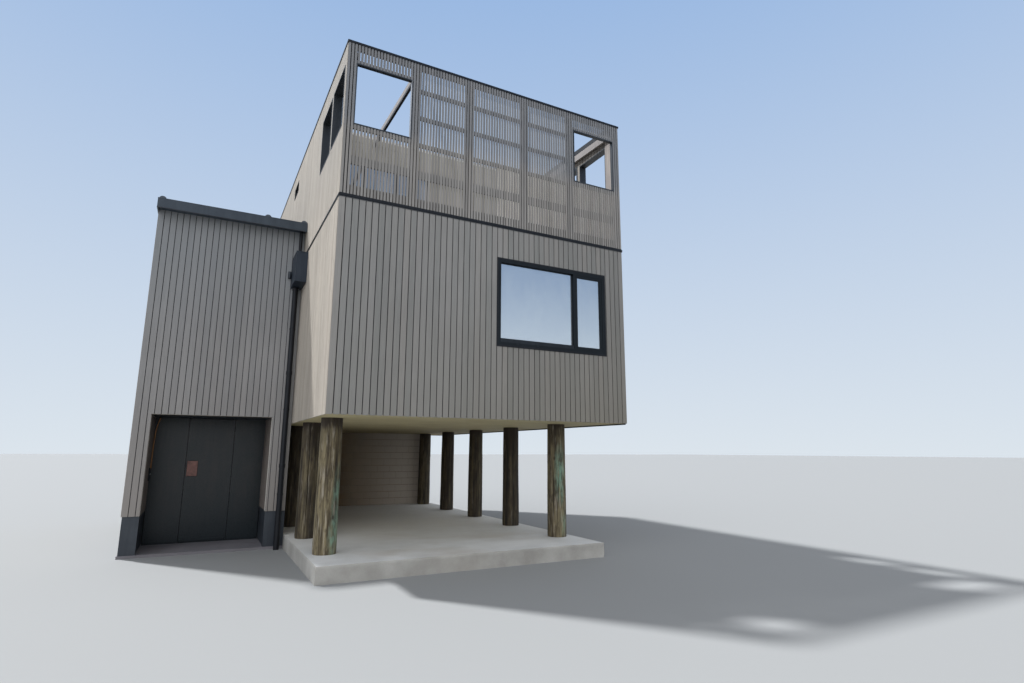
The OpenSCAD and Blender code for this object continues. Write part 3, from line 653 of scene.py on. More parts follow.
# Windows, drawn from their lower left corner with Y into the wall
windowPlan = {"right": 472, "width": 2466, "height": 1685, "upperDrop": 496, "clear": 30}
sill, upperSill = sizeOf("window_frames")[0].z, roofHeight(depth) - windowPlan["upperDrop"] - windowPlan["height"]
windowLeft = width - windowPlan["right"] - windowPlan["width"]
windowSpots = [(windowLeft, 0, sill, 1), (width - windowLeft, depth, sill, -1),
               (width - windowLeft, depth, upperSill, -1)]


def atWindow(spot, low, high):
    x, y, z, side = spot
    first = (x + side * low[0], y + side * low[1], z + low[2])
    second = (x + side * high[0], y + side * high[1], z + high[2])
    return [min(a, b) for a, b in zip(first, second)], [max(a, b) for a, b in zip(first, second)]


windowHoles = [atWindow(spot, (0, -windowPlan["clear"], 0),
                        (windowPlan["width"], wall + windowPlan["clear"], windowPlan["height"]))
               for spot in windowSpots]

# Walls of the main box
finishWall("frontWallBoards", "front_wall",
           addCore((clad, clad, liningTop), (width - clad, wall, jointLow), (0, -1, 0)),
           [layBoards(0, 0, -1, 0, width, soffit, jointLow, 0, mainPitch, frontBoards)], [windowHoles[0]])
backCore = (clad, depth - wall), (width - clad, depth - clad)
finishWall("backWallBoards", "back_wall", addCore((*backCore[0], liningTop), (*backCore[1], jointLow), (0, 1, 0)),
           [layBoards(0, depth, 1, 0, width, soffit, jointLow, 0, mainPitch, frontBoards)], [windowHoles[1]])

openings = {"left": 140, "right": 272, "width": 990, "gap": 115, "bottom": 7160, "top": 8320}
slots = {"start": 5650, "width": 700, "height": 300, "drop": 485}
cornerBoard = {"from": 76, "thick": 6, "before": 20}
wallTop = roofHeight(depth) + 50
front = sizeOf("upper_left_wall")[0].y
for side, outer, facing, outerBoards in (("left", 0, -1, sideBoards), ("right", width, 1, frontBoards)):
    inner, behind = outer - facing * wall, outer - facing * clad
    skin = outer - facing * (wall - clad)  # back of the boards or lining on the inner face
    core = addCore((min(inner, behind), clad, liningTop), (max(inner, behind), depth - clad, jointLow), (facing, 0, 0))
    finishWall(side + "WallBoards", side + "_wall", core,
               [layBoards(1, outer, facing, clad, depth - clad, soffit, jointLow, 0, sidePitch, outerBoards)])

    start = openings[side]
    cutLow, cutHigh = outer - 400, outer + 400
    holes = [((cutLow, y, openings["bottom"]), (cutHigh, y + openings["width"], openings["top"]))
             for y in (start, start + openings["width"] + openings["gap"])]
    slotBottom = roof["front"] - slots["drop"]
    holes.append(((cutLow, slots["start"], slotBottom),
                  (cutHigh, slots["start"] + slots["width"], slotBottom + slots["height"])))
    core = addCore((min(skin, behind), front, deckTop), (max(skin, behind), depth - clad, wallTop),
                   (facing, 0, 0), False)
    rows = [layBoards(1, outer, facing, front, depth - clad, deckTop, wallTop, 0, sidePitch, outerBoards),
            layBoards(1, inner, -facing, front, room, deckTop, openings["top"], 0, sidePitch, sideBoards),
            layBoards(1, inner, -facing, front, room, openings["top"], wallTop, 0, sidePitch, headBoards),
            addBlock("lining", (min(inner, skin), room, deckTop),
                     (max(inner, skin), depth - clad, wallTop), roomPlaster)]
    x0, x1 = sorted((inner, inner - facing * cornerBoard["thick"]))
    rows.append(addBlock("cornerBoard", (x0, cornerBoard["from"], deckTop),
                         (x1, start - cornerBoard["before"], wallTop), cornerTimber, 1))
    finishWall("upper" + side.capitalize() + "WallBoards", "upper_" + side + "_wall", core, rows, holes, True)

finishWall("upperBackWallBoards", "upper_back_wall",
           addCore((*backCore[0], deckTop), (*backCore[1], wallTop), (0, 1, 0)),
           [layBoards(0, depth, 1, 0, width, deckTop, wallTop, 0, mainPitch, frontBoards)], [windowHoles[2]], True)
print("main box boarded")

# Walls of the entry wing
low, top, recessLeft, recessRight, recessTop = wingLow.z, wingHigh.z, recessLow.x, recessHigh.x, recessLow.z
headTrim = {"thick": 6}
finishWall("entryPierBoards", "entry_piers",
           addCore((wingLeft + clad, wingFront + clad, low), (0, wingFront + wall, top), (0, -1, 0)),
           [layBoards(0, wingFront, -1, wingLeft, 0, low, top, wingLeft, wingPitch, wingBoards)],
           [((recessLeft, wingFront - 50, low - 50), (recessRight, wingFront + wall + 50, top + 50))])
core = addCore((recessLeft, wingFront + clad, recessTop + headTrim["thick"]), (recessRight, wingFront + wall, top),
               (0, -1, 0))
row = layBoards(0, wingFront, -1, recessLeft, recessRight, recessTop, top, wingLeft, wingPitch, wingBoards)
trim = addBlock("headTrim", (recessLeft, wingFront + clad, recessTop),
                (recessRight, wingFront + wall, recessTop + headTrim["thick"]), headTrimPaint)
finishWall("entryFrontBoards", "entry_over_door", core, [row, trim])
finishWall("entryLeftBoards", "entry_left_wall",
           addCore((wingLeft + clad, wingFront + clad, low), (wingLeft + wall, depth - clad, top), (-1, 0, 0)),
           [layBoards(1, wingLeft, -1, wingFront + clad, depth - clad, low, top, 0, sidePitch, sideBoards)])
finishWall("entryBackBoards", "entry_back_wall",
           addCore((wingLeft + clad, depth - wall, low), (0, depth - clad, top), (0, 1, 0)),
           [layBoards(0, depth, 1, wingLeft, 0, low, top, wingLeft, wingPitch, frontBoards)])
sideLow, sideHigh = sizeOf("entry_side_wall")
finishWall("entrySideBoards", "entry_side_wall", addCore(sideLow, (sideHigh.x - clad, *sideHigh.yz), (1, 0, 0)),
           [layBoards(1, sideHigh.x, 1, sideLow.y, sideHigh.y, sideLow.z, sideHigh.z, 0, sidePitch, frontBoards)])

# Sides of the recess: boards down to the plinth's height and painted sheet below
reveal = {"deep": 90, "sheetBack": 12}
revealLow, revealHigh = sizeOf("recess_walls")
parts = []
for outer, facing in ((recessLeft, 1), (recessRight, -1)):
    x0, x1 = sorted((outer - facing * reveal["deep"], outer - facing * clad))
    # the reveal's core shows through the board gaps as painted shade
    core = addBlock("core", (x0, revealLow.y, revealLow.z), (x1, revealHigh.y, revealHigh.z), gapShade)
    row = layBoards(1, outer, facing, revealLow.y, revealHigh.y, low, recessTop, 0, sidePitch, shadedRevealBoards)
    x0, x1 = sorted((outer - facing * clad, outer - facing * reveal["sheetBack"]))
    sheet = addBlock("sheet", (x0, revealLow.y, revealLow.z), (x1, revealHigh.y, low), plinthSteel, 1.5)
    parts.append(joinWall("reveal", core, [row, sheet]))
put("recessBoards", parts, "cladding", "recess_walls")
print("entry wing boarded")


# Carport slab: flat trowelled top, and rough sides where the boxing came off
slabLook = {"inset": 14, "grid": 28, "rows": 9, "chips": 7, "grain": 2.5, "nose": 9}
slabLow, slabHigh = sizeOf("carport_slab")


def roughSide(start, end, bottom, top, inward):  # one side of the slab, its face pushed in unevenly
    deselectAll()
    run = at(*end) - at(*start)
    columns, rows = round(run.length * 1000 / slabLook["grid"]), slabLook["rows"]
    bpy.ops.mesh.primitive_grid_add(x_subdivisions=columns, y_subdivisions=rows, size=1)
    piece = bpy.context.object
    nose, height = slabLook["nose"], (top - bottom) / 1000
    profile = [(slabLook["inset"] + 2, 0.4), (4, 0.7), (0, nose)]  # how far in and how far down the upper rows lie
    for vertex in piece.data.vertices:
        along, up = vertex.co.x + 0.5, round((vertex.co.y + 0.5) * rows)
        down = rows - up
        inset, drop = profile[down] if down < 3 else (0, nose + (height * 1000 - nose) * (down - 2) / (rows - 2))
        spot = at(*start) + run * along
        spot.z = at(0, 0, top).z - drop / 1000
        ends = min(1, along * run.length / 0.05, (1 - along) * run.length / 0.05)
        if down:
            chip = max(0, noise.noise(spot * 9) - 0.05) * (2 if down == 1 else 1)
            inset += ends * (slabLook["chips"] * chip + slabLook["grain"] * abs(noise.noise(spot * 60)))
            spot.z -= ends * 0.002 * abs(noise.noise(spot * 30)) * (down == 1)
        vertex.co = spot + Vector(inward) * inset / 1000
    piece.data.materials.append(edgeConcrete)
    if run.cross(Vector((0, 0, 1))).dot(Vector(inward)) > 0:
        editPart(piece)
        bpy.ops.mesh.flip_normals()
        closeEdit()
    makeActive(piece)
    bpy.ops.object.shade_smooth()
    return piece


inset = slabLook["inset"]
parts = [addBlock("slabTop", (slabLow.x + inset, slabLow.y + inset, slabLow.z),
                  (slabHigh.x - inset, slabHigh.y - inset, slabHigh.z), slabConcrete)]
for start, end, inward in (((0, 0), (1, 0), (0, 1, 0)), ((1, 0), (1, 1), (-1, 0, 0)),
                           ((1, 1), (0, 1), (0, -1, 0)), ((0, 1), (0, 0), (1, 0, 0))):
    spots = [(slabLow.x + u * (slabHigh.x - slabLow.x), slabLow.y + v * (slabHigh.y - slabLow.y), 0)
             for u, v in (start, end)]
    parts.append(roughSide(*spots, slabLow.z, slabHigh.z, inward))
put("carportSlab", parts, "concrete", "carport_slab")

# Block wall in stretcher bond: level joints raked back to a mortar core, upright joints nearly flush
blockSize = {"length": 397, "joint": 3, "bed": 10, "edge": 1.5, "courses": 11, "rake": 5}
blockLow, blockHigh = sizeOf("block_wall")
courseHigh = (blockHigh.z - blockLow.z) / blockSize["courses"]
blockPitch, bed, rake = blockSize["length"] + blockSize["joint"], blockSize["bed"], blockSize["rake"]
parts = [addBlock("mortarCore", [v + rake for v in blockLow], [v - rake for v in blockHigh], mortar)]
for course in range(blockSize["courses"]):
    z = blockLow.z + course * courseHigh
    shift = blockPitch / 2 * (course % 2)
    count = math.ceil((blockHigh.x - blockLow.x + shift) / blockPitch)
    x = blockLow.x - shift
    row = addBlock("course", (x, blockLow.y, z + bed / 2),
                   (x + blockSize["length"], blockHigh.y, z + courseHigh - bed / 2), blockFace, blockSize["edge"])
    repeatAlong(row, (blockPitch, 0, 0), count)
    bisectAway(row, (blockHigh.x, 0, 0), (1, 0, 0))
    bisectAway(row, (blockLow.x, 0, 0), (-1, 0, 0))
    row["boards"] = [0, x, blockPitch]
    numberBoards(row, 40 + course)
    parts.append(row)
put("blockCourses", parts, "block", "block_wall")
print("slab and block wall")

# Poles: tapered, a little out of round, with drying checks, knots and worn feet
poleShape = {"sides": 144, "rings": 34, "foot": 196.5, "head": 181.5, "lumps": 5, "grooves": 2.6,
             "checks": 7, "checkDeep": 24, "x": (322, 4872), "y": 1105, "pitch": 2007.5, "count": 5}
poleLooks = {  # how weathered and lit, how deep the painted shade at the head, and green patches: angle, height, half spreads, strength
    (0, 0): {"weatheredAndLit": 0.8, "paintedHeadShade": 190, "green": [(-40, 700, 34, 620, 1.0), (-62, 250, 25, 330, 0.7)]},
    (1, 0): {"weatheredAndLit": 0.72, "paintedHeadShade": 60, "green": [(-95, 1250, 36, 560, 1.0), (-75, 300, 25, 260, 0.5)]},
    (0, 1): {"weatheredAndLit": 0.25, "paintedHeadShade": 120, "green": []},
    (1, 1): {"weatheredAndLit": 0.1, "paintedHeadShade": 260, "green": []},
}


def shapePole(x, y, seed, look):
    deselectAll()
    sides = poleShape["sides"]
    bpy.ops.mesh.primitive_cylinder_add(vertices=sides, radius=1, depth=1, location=(0, 0, 0.5))
    pole = settle("pole", polePine, 0)
    makeActive(pole)
    bpy.context.tool_settings.mesh_select_mode = (False, True, False)
    bpy.ops.object.mode_set(mode="EDIT")
    bpy.ops.mesh.select_all(action="DESELECT")
    closeEdit()
    for edge in pole.data.edges:
        a, b = [pole.data.vertices[i].co for i in edge.vertices]
        edge.select = abs(a.z - b.z) > 0.5
    bpy.ops.object.mode_set(mode="EDIT")
    bpy.ops.mesh.subdivide(number_cuts=poleShape["rings"] - 1)
    closeEdit()
    dice = random.Random(seed)
    checks = [(dice.uniform(0, sides), dice.uniform(-0.1, 0.5), dice.uniform(0.45, 1.1),
               dice.uniform(0.35, 1.0), dice.uniform(-3, 3)) for _ in range(poleShape["checks"])]
    values = {"check": [], "green": [], "dark": [], "weatheredAndLit": []}
    for vertex in pole.data.vertices:
        turn, up = math.atan2(vertex.co.y, vertex.co.x), vertex.co.z
        z = up * soffit
        radius = poleShape["foot"] + (poleShape["head"] - poleShape["foot"]) * up
        around = Vector((math.cos(turn), math.sin(turn), 0))
        spot = around + Vector((x, y, 0)) / 700
        radius -= poleShape["lumps"] * (0.5 + noise.noise(spot * 1.1 + Vector((0, 0, z / 700))))
        radius -= poleShape["grooves"] * (0.5 + noise.noise(spot * 11 + Vector((0, 0, z / 900))))
        radius -= 5 * max(0, 1 - z / 90) ** 2
        column, cut, green = turn / math.tau * sides, 0, 0
        for middle, low, high, deep, drift in checks:
            share = (up - low) / (high - low)
            if 0 < share < 1:
                wander = middle + drift * share + 1.3 * noise.noise(Vector((middle, z / 350, seed)))
                away = abs((column - wander + sides / 2) % sides - sides / 2)
                cut = max(cut, deep * math.sin(math.pi * share) ** 0.6 * max(0, 1 - away / 1.25))
        for angle, middle, wide, tall, strength in look["green"]:
            off = abs((math.degrees(turn) - angle + 180) % 360 - 180) / wide
            green = max(green, strength * max(0, 1.3 - math.hypot(off, (z - middle) / tall)) / 1.3)
        headEdge = soffit - look["paintedHeadShade"] * (1 + 0.6 * noise.noise(spot * 6))
        values["check"].append(min(1, cut * 1.6))
        values["green"].append(min(1, green * 1.8))
        values["dark"].append(min(0.85, max(0, (z - headEdge) / 60)))
        values["weatheredAndLit"].append(min(1, max(0, look["weatheredAndLit"] + 0.45 * noise.noise(spot * 1.5))))
        vertex.co = at(x, y, z) + around * (radius - poleShape["checkDeep"] * cut) / 1000
    for name, numbers in values.items():
        pole.data.attributes.new(name, "FLOAT", "POINT").data.foreach_set("value", numbers)
    makeActive(pole)
    bpy.ops.object.shade_smooth_by_angle(angle=math.radians(50))
    return pole


parts = []
for rowNumber, x in enumerate(poleShape["x"]):
    for number in range(poleShape["count"]):
        look = poleLooks.get((rowNumber, number), {"weatheredAndLit": 0.08 + 0.05 * number, "paintedHeadShade": 140, "green": []})
        parts.append(shapePole(x, poleShape["y"] + number * poleShape["pitch"], 10 * rowNumber + number, look))
put("pinePoles", parts, "pole_wood", "poles")
print("poles shaped")

# Edge trims of the soffit: a painted steel angle under the boards along the right side and at the back
trimSize = {"wide": 22, "high": 24}
inX, inY, under = width - clad - trimSize["wide"], depth - clad - trimSize["wide"], soffit - trimSize["high"]
put("soffitTrims", [addBlock("trim", (inX, clad, under), (width - clad, depth - clad, soffit), windowPaint, 2),
                    addBlock("trim", (clad, inY, under), (inX, depth - clad, soffit), windowPaint, 2)], "window_frame")

# Joint flashing between the storeys: a folded sheet with a proud nose over a recessed back and a lip
flashing = {"back": 2, "nose": 10, "noseLow": 17, "noseHigh": 54, "bar": 40, "edge": 3, "slimLow": 26,
            "slimHigh": 48, "lip": 8, "lipHigh": 9, "lipBar": 30}


def aroundBox(name, out, low, high, bar, material, edge=0):
    return addFrame(name, (-out, -out, jointLow + low), (width + out, depth + out, jointLow + high),
                    bar, material, 2, edge)


jointHigh = deckTop - jointLow
ring = aroundBox("flashingBack", -flashing["back"], 0, jointHigh, wall - flashing["back"], trimSteel)
nose = aroundBox("flashingNose", flashing["nose"], flashing["noseLow"], flashing["noseHigh"], flashing["bar"],
                 trimSteel, flashing["edge"])
lip = aroundBox("flashingLip", flashing["lip"], 0, flashing["lipHigh"], flashing["lipBar"], lipSteel, 1)
for part in (nose, lip):  # the wing stands there
    cutAway(part, (-100, wingFront, jointLow - 50), (0, depth + 100, deckTop + 50))
for bottom, top in ((0, flashing["slimLow"]), (flashing["slimHigh"], jointHigh)):  # slimmer along the left side
    cutAway(nose, (-100, 0, jointLow + bottom), (-1, wingFront, jointLow + top))
put("jointFlashing", [ring, nose, lip], "slate_metal", "joint_flashing")

# Glazing beads and rubber round every pane, the wide light's lower rail, drain slots and sash seal
glazing = {"bar": 84, "mullion": 40, "narrow": 733, "sash": 46, "glassFront": 50, "sashGlass": 25, "bead": 13,
           "rubber": 5, "railHigh": 74, "railFront": 3, "seal": 6, "flashing": 34, "proud": 9.5, "drains": (420, 848),
           "drainWide": 46, "drainLow": 56, "drainHigh": 72}


def beadsRound(parts, cornersAt, bead, fronts):  # a painted bead and a rubber strip on the glass
    for (back, out), thick, paint in zip(fronts, (bead, bead + glazing["rubber"]), (beadPaint, rubberBlack)):
        parts.append(addFrame("bead", *cornersAt(back, out), thick, paint, 1, 1.5))


bar, sash, wide = glazing["bar"], glazing["sash"], windowPlan["width"]
high, sashLeft = windowPlan["height"] - bar, wide - glazing["narrow"]
wideEnd = sashLeft - glazing["mullion"]
parts = []
for spot in windowSpots:
    for x0, x1, inset, face in ((bar, wideEnd, 0, glazing["glassFront"]),
                                (sashLeft + sash, wide - bar - sash, sash, glazing["sashGlass"])):
        beadsRound(parts, lambda back, out: atWindow(spot, (x0, back, bar + inset), (x1, out, high - inset)),
                   glazing["bead"], ((face - 16, face - 3), (face - 3, face)))
    parts.append(addBlock("bottomRail", *atWindow(spot, (bar, glazing["railFront"], bar),
                                                  (wideEnd, glazing["glassFront"] - 16, bar + glazing["railHigh"])),
                          beadPaint, 3))
    parts.append(addFrame("sashSeal", *atWindow(spot, (sashLeft, -1.5, bar), (wide - bar, 0, high)),
                          glazing["seal"], rubberBlack))
    parts.append(addFrame("windowFlashing", *atWindow(spot, (0, -glazing["proud"], 0),
                                                      (wide, -5, windowPlan["height"])),
                          glazing["flashing"], trimSteel, 1, 1))
    for x in glazing["drains"]:
        low, far = atWindow(spot, (x, -glazing["proud"], glazing["drainLow"]),
                            (x + glazing["drainWide"], -5.5, glazing["drainHigh"]))
        parts.append(addBlock("drainCover", low, far, beadPaint, 1.5))
put("glazingBeads", parts, "window_frame")
print("flashing and windows")

# Roof deck: boards on the floor frame, sill and pulls of the sliding doors
deckPlan = {"pitch": 145, "gap": 5, "thick": 22}
floorLow, floorHigh = sizeOf("upper_floor")
boardLow = floorHigh.z - deckPlan["thick"]
# the dark frame seen between the deck boards is painted shade
core = addBlock("deckFrame", floorLow, (floorHigh.x, room, boardLow - 2), gapShade)
roomFloor = addBlock("roomFloor", (floorLow.x, room, floorLow.z), floorHigh, floorTimber)
row = addBlock("deckRow", (floorLow.x, floorLow.y, boardLow),
               (floorHigh.x, floorLow.y + deckPlan["pitch"] - deckPlan["gap"], floorHigh.z), deckTimber, 3)
repeatAlong(row, (0, deckPlan["pitch"], 0), math.ceil((room - floorLow.y) / deckPlan["pitch"]))
bisectAway(row, (0, room, 0), (0, 1, 0))
row["boards"] = [1, floorLow.y, deckPlan["pitch"]]
numberBoards(row, 60)
put("deckBoards", [core, row, roomFloor], "floor_frame", "upper_floor")

slider = {"stile": 60, "panes": 3, "sillDeep": 28, "sillHigh": 14, "fronts": ((27, 42), (42, 45)), "pullFrom": 930,
          "pullHigh": 260, "feet": (20, 228), "footHigh": 12}
doorsLow, doorsHigh = sizeOf("sliding_doors")
stile, face = slider["stile"], doorsLow.y
paneWide = (doorsHigh.x - doorsLow.x - (slider["panes"] + 1) * stile) / slider["panes"]
parts = [addBlock("sill", (doorsLow.x, face - slider["sillDeep"], doorsLow.z),
                  (doorsHigh.x, face, doorsLow.z + slider["sillHigh"]), windowPaint, 2)]
for i in range(slider["panes"]):
    x, z = doorsLow.x + stile + i * (paneWide + stile), doorsLow.z + slider["pullFrom"]
    beadsRound(parts, lambda back, out: ((x, face + back, doorsLow.z + stile),
                                         (x + paneWide, face + out, doorsHigh.z - stile)),
               glazing["bead"], slider["fronts"])
    if i:
        x -= stile / 2
        parts.append(addBlock("pull", (x - 7, face - 38, z), (x + 7, face - 26, z + slider["pullHigh"]), beadPaint, 4))
        for foot in slider["feet"]:
            parts.append(addBlock("pullFoot", (x - 5, face - 28, z + foot),
                                  (x + 5, face, z + foot + slider["footHigh"]), beadPaint, 2))
put("slidingDoorFittings", parts, "window_frame")

# Upper roof: seams along the fall and a white edge over the deck
roofPlan = {"under": 50, "seamFrom": 190, "seamPitch": 450, "seamWide": 12, "seamHigh": 30, "edgeHigh": 56,
            "edgeSheet": 202}
roofLow, roofHigh = sizeOf("upper_roof")


def followRoof(piece):
    for vertex in piece.data.vertices:
        vertex.co.z += (vertex.co.y - boxCorner.y) * roofSlope
    return piece


seamBase, seamX = roof["front"] - roofPlan["under"], roofLow.x + roofPlan["seamFrom"]
seam = followRoof(addBlock("roofSeam", (seamX, roofLow.y + 8, seamBase - 3),
                           (seamX + roofPlan["seamWide"], roofHigh.y - 20, seamBase + roofPlan["seamHigh"]),
                           slateSteel, 3))
seamCount = math.floor((roofHigh.x - roofLow.x - 200) / roofPlan["seamPitch"]) + 1
repeatAlong(seam, (roofPlan["seamPitch"], 0, 0), seamCount)
edgeTop = roofHeight(room) - roofPlan["under"]
edge = addBlock("whiteRoofEdge", (roofLow.x, roofLow.y - 14, edgeTop - roofPlan["edgeHigh"]),
                (roofHigh.x, roofLow.y, edgeTop - 1), palePaint, 2)
under = addBlock("edgeLining", (roofLow.x, roofLow.y - 10, edgeTop - roofPlan["edgeSheet"]),
                 (roofHigh.x, roofLow.y, edgeTop - roofPlan["edgeHigh"]), creamSheet)
put("roofSeams", [seam, edge, under], "slate_metal")

# Dark sheet along the inner faces over the deck beams, and flanges round the far openings
innerTrim = {"thick": 3, "flange": 38, "flashTop": 42, "flashLow": 148, "from": 78, "before": 20}
flange = innerTrim["flange"]
parts = []
for side, inner, facing in (("left", wall, 1), ("right", width - wall, -1)):
    x0, x1 = sorted((inner, inner + facing * innerTrim["thick"]))
    start = openings[side] + openings["width"] + openings["gap"]
    sheet = addBlock("parapetFlashing", (x0, innerTrim["from"], roof["front"] - innerTrim["flashLow"]),
                     (x1, room - innerTrim["before"], roof["front"] - innerTrim["flashTop"]), trimSteel)
    parts.append(followRoof(sheet))
    parts.append(addFrame("openingFlange", (x0, start - flange, openings["bottom"] - flange),
                          (x1, start + openings["width"] + flange, openings["top"] + flange), flange, liningSteel, 0))
put("innerTrims", parts, "slate_metal")
print("deck and upper roof")

# Roof edge trim of the wing, open at the main box: flat face between a rolled top and a drip whose darker colour is
# painted shade for the shadow line under the fascia
fascia = {"thick": 15, "step": 2.5, "gap": 4, "bead": 16, "drip": 18, "past": 200}
fasciaLow, fasciaHigh = sizeOf("entry_fascia")
step, thick, past = fascia["step"], fascia["thick"], fascia["past"]
bands = [addFrame("fasciaFace", (fasciaLow.x + step, fasciaLow.y + step, fasciaLow.z + fascia["gap"]),
                  (past, fasciaHigh.y - step, fasciaHigh.z - fascia["gap"]), thick - step, fasciaSteel, 2),
         addFrame("fasciaBead", (fasciaLow.x, fasciaLow.y, fasciaHigh.z - fascia["bead"]),
                  (past, fasciaHigh.y, fasciaHigh.z), thick + 6, fasciaSteel, 2, 3),
         addFrame("fasciaDrip", fasciaLow, (past, fasciaHigh.y, fasciaLow.z + fascia["drip"]), thick + 10,
                  darkSteel, 2, 3)]
for band in bands:
    bisectAway(band, (0, 0, 0), (1, 0, 0))
put("entryFascia", bands, "slate_metal", "entry_fascia")

wingRoof = {"ribFrom": 262, "ribPitch": 281, "ribWide": 34, "ribHigh": 24, "sheet": 6540, "ribs": 9}
ribX = wingLeft + wingRoof["ribFrom"]
rib = addBlock("roofRib", (ribX, fasciaLow.y + 16, wingRoof["sheet"] - 2),
               (ribX + wingRoof["ribWide"], depth - 8, wingRoof["sheet"] + wingRoof["ribHigh"]), slateSteel)
editPart(rib, lambda face: face.normal.z > 0.9)
bpy.ops.transform.resize(value=(0.5, 1, 1))  # draws the top in to the roofing's trapezoid rib
closeEdit()
repeatAlong(rib, (wingRoof["ribPitch"], 0, 0), wingRoof["ribs"])
put("entryRoofRibs", [rib], "slate_metal")

# Rainwater box, folded from sheet: open on top, stiffening rims, an elbow at its side that turns down
rain = {"wide": 225, "sheet": 4, "rim": 22, "rimOut": 5, "rimBar": 12, "deep": 560, "elbowIn": 40, "spout": 32.5,
        "elbow": 34, "elbowDrop": 120}
headLow, headHigh = sizeOf("rain_head")
headLow = Vector((-rain["wide"], headLow.y, headLow.z))
tank = addBlock("tank", headLow, headHigh, tankSteel)
hollowOut(tank, 1, rain["sheet"], -rain["deep"])
rims = [addFrame("rim", (headLow.x - rain["rimOut"], headLow.y - rain["rimOut"], low),
                 (0, headHigh.y, low + rain["rim"]), rain["rimBar"], tankSteel, 2, 3)
        for low in (headHigh.z - rain["rim"], headLow.z)]
seam = addBlock("cornerSeam", (headLow.x - 3, headLow.y - 3, headLow.z + 20),
                (headLow.x + 14, headLow.y + 14, headHigh.z - 20), tankSteel, 2)
elbowX, y, z = headLow.x - rain["elbowIn"], headHigh.y - rain["elbowIn"], (headLow.z + headHigh.z) / 2
spout = addRod("spout", (elbowX, y, z), (headLow.x + 2, y, z), rain["spout"], darkSteel)
elbow = addRod("elbow", (elbowX, y, z - rain["elbowDrop"]), (elbowX, y, z + rain["elbow"]), rain["elbow"], darkSteel, 6)
hollowOut(elbow, -1, 3, 55)
put("rainwaterBox", [tank, seam, spout, elbow] + rims, "slate_metal", "rain_head")

pipe = {"x": -137, "y": wingFront - 130, "socket": 61, "sockets": ((5054, 5124), (3230, 3310), (1330, 1410))}
put("downpipeSockets", [addRod("socket", (pipe["x"], pipe["y"], low), (pipe["x"], pipe["y"], high), pipe["socket"],
                               trimSteel, 4, 48) for low, high in pipe["sockets"]], "slate_metal")
print("wing roof and rainwater goods")

# Entry recess: threshold with grip lines
entry = {"threshold": 90, "high": 9, "gripPitch": 16, "gripWide": 5, "grips": 4}
door, floor = sizeOf("entry_door")[0].y, sizeOf("entry_slab")[1].z
parts = [addBlock("threshold", (recessLeft + 1, door - entry["threshold"], floor),
                  (recessRight - 1, door - 8, floor + entry["high"]), beadPaint, 3)]
for i in range(entry["grips"]):
    y = door - entry["threshold"] + (i + 1) * entry["gripPitch"]
    parts.append(addBlock("grip", (recessLeft + 8, y, floor + 8),
                          (recessRight - 8, y + entry["gripWide"], floor + 10.5), rubberBlack, 1))
put("doorThreshold", parts, "window_frame")

# Chime box on the recess's left side, with its copper conduit
chime = {"deep": 28, "low": (4765, 1060), "high": (4850, 1320), "push": (4808, 1195), "conduit": 13, "conduitY": 5058,
         "route": ((12, 1300), (12, 1700), (12, 2030), (28, 2170), (92, 2340)), "saddles": (1420, 1880)}
side, (y, z) = recessLeft, chime["push"]
chimeBox = addBlock("chimeBox", (side, *chime["low"]), (side + chime["deep"], *chime["high"]), windowPaint, 5)
push = addRod("chimePush", (side + 26, y, z), (side + 33, y, z), 13, palePaint, 2, 32)
deselectAll()
bpy.ops.curve.primitive_nurbs_path_add()
conduit = bpy.context.object
for point, (x, z) in zip(conduit.data.splines[0].points, chime["route"]):
    point.co = (*at(side + x, chime["conduitY"], z), 1)
conduit.data.bevel_depth = chime["conduit"] / 1000
conduit.data.bevel_resolution = 4
conduit.location = (0, 0, 0)
bpy.ops.object.convert(target="MESH")
conduit = settle("conduit", copperPipe, 0)
saddles = [addBlock("saddle", (side, 5044, z), (side + 28, 5074, z + 16), copper, 3) for z in chime["saddles"]]
put("chimeAndConduit", [chimeBox, push, conduit] + saddles, "plate")

# Hand plate with its screws, and the weather bar on the door's foot
plateLook = {"edge": 1.5, "screw": 5, "screwIn": 16, "gasket": 5}
plateLow, plateHigh = sizeOf("door_plate")
inward, gasket = plateLook["screwIn"], plateLook["gasket"]
parts = [addBlock("plate", plateLow, plateHigh, copper, plateLook["edge"]),
         addBlock("plateGasket", (plateLow.x - gasket, plateHigh.y - 4, plateLow.z - gasket),
                  (plateHigh.x + gasket, plateHigh.y, plateHigh.z + gasket), rubberBlack, 1)]
for x in (plateLow.x + inward, plateHigh.x - inward):
    for z in (plateLow.z + inward, plateHigh.z - inward):
        parts.append(addRod("screw", (x, plateLow.y - 1.6, z), (x, plateLow.y + 1, z), plateLook["screw"], copper,
                            0.8, 20))
put("handPlate", parts, "plate", "door_plate", body="entry_door")
doorLow, doorHigh = sizeOf("entry_door")
bar = addBlock("weatherBar", (doorLow.x + 12, door - 15, doorLow.z + 8),
               (doorHigh.x - 40, door, doorLow.z + 52), doorPaint, 3)
editPart(bar, lambda face: face.normal.z > 0.9)
bpy.ops.transform.resize(value=(1, 0.25, 1))
bpy.ops.transform.translate(value=(0, 0.0056, 0))
closeEdit()
put("weatherBar", [bar], "door", body="entry_door")
print("entry recess")

# Stage, light and camera
stageLook = {"floor": "#8c8e8f", "horizon": "#dbe4ec", "sky": "#8fb2e0", "ambient": 0.75}
suns = {"keySun": (-38, 55, 5.1, 3), "softFill": (215, 25, 1.2, 80)}  # azimuth, elevation, strength, spread
cameraSet = {"place": (-1659, -9249, 1680), "heading": 27.92, "tilt": 10.71, "roll": 0.22, "lens": 20.37}

deselectAll()
bpy.ops.mesh.primitive_plane_add(size=600, location=(0, 0, 0))
studioFloor = bpy.context.object
studioFloor.name = "studioFloor"
studioFloor.data.materials.append(newMaterial("paleFloor", 0.9, stageLook["floor"])[0])


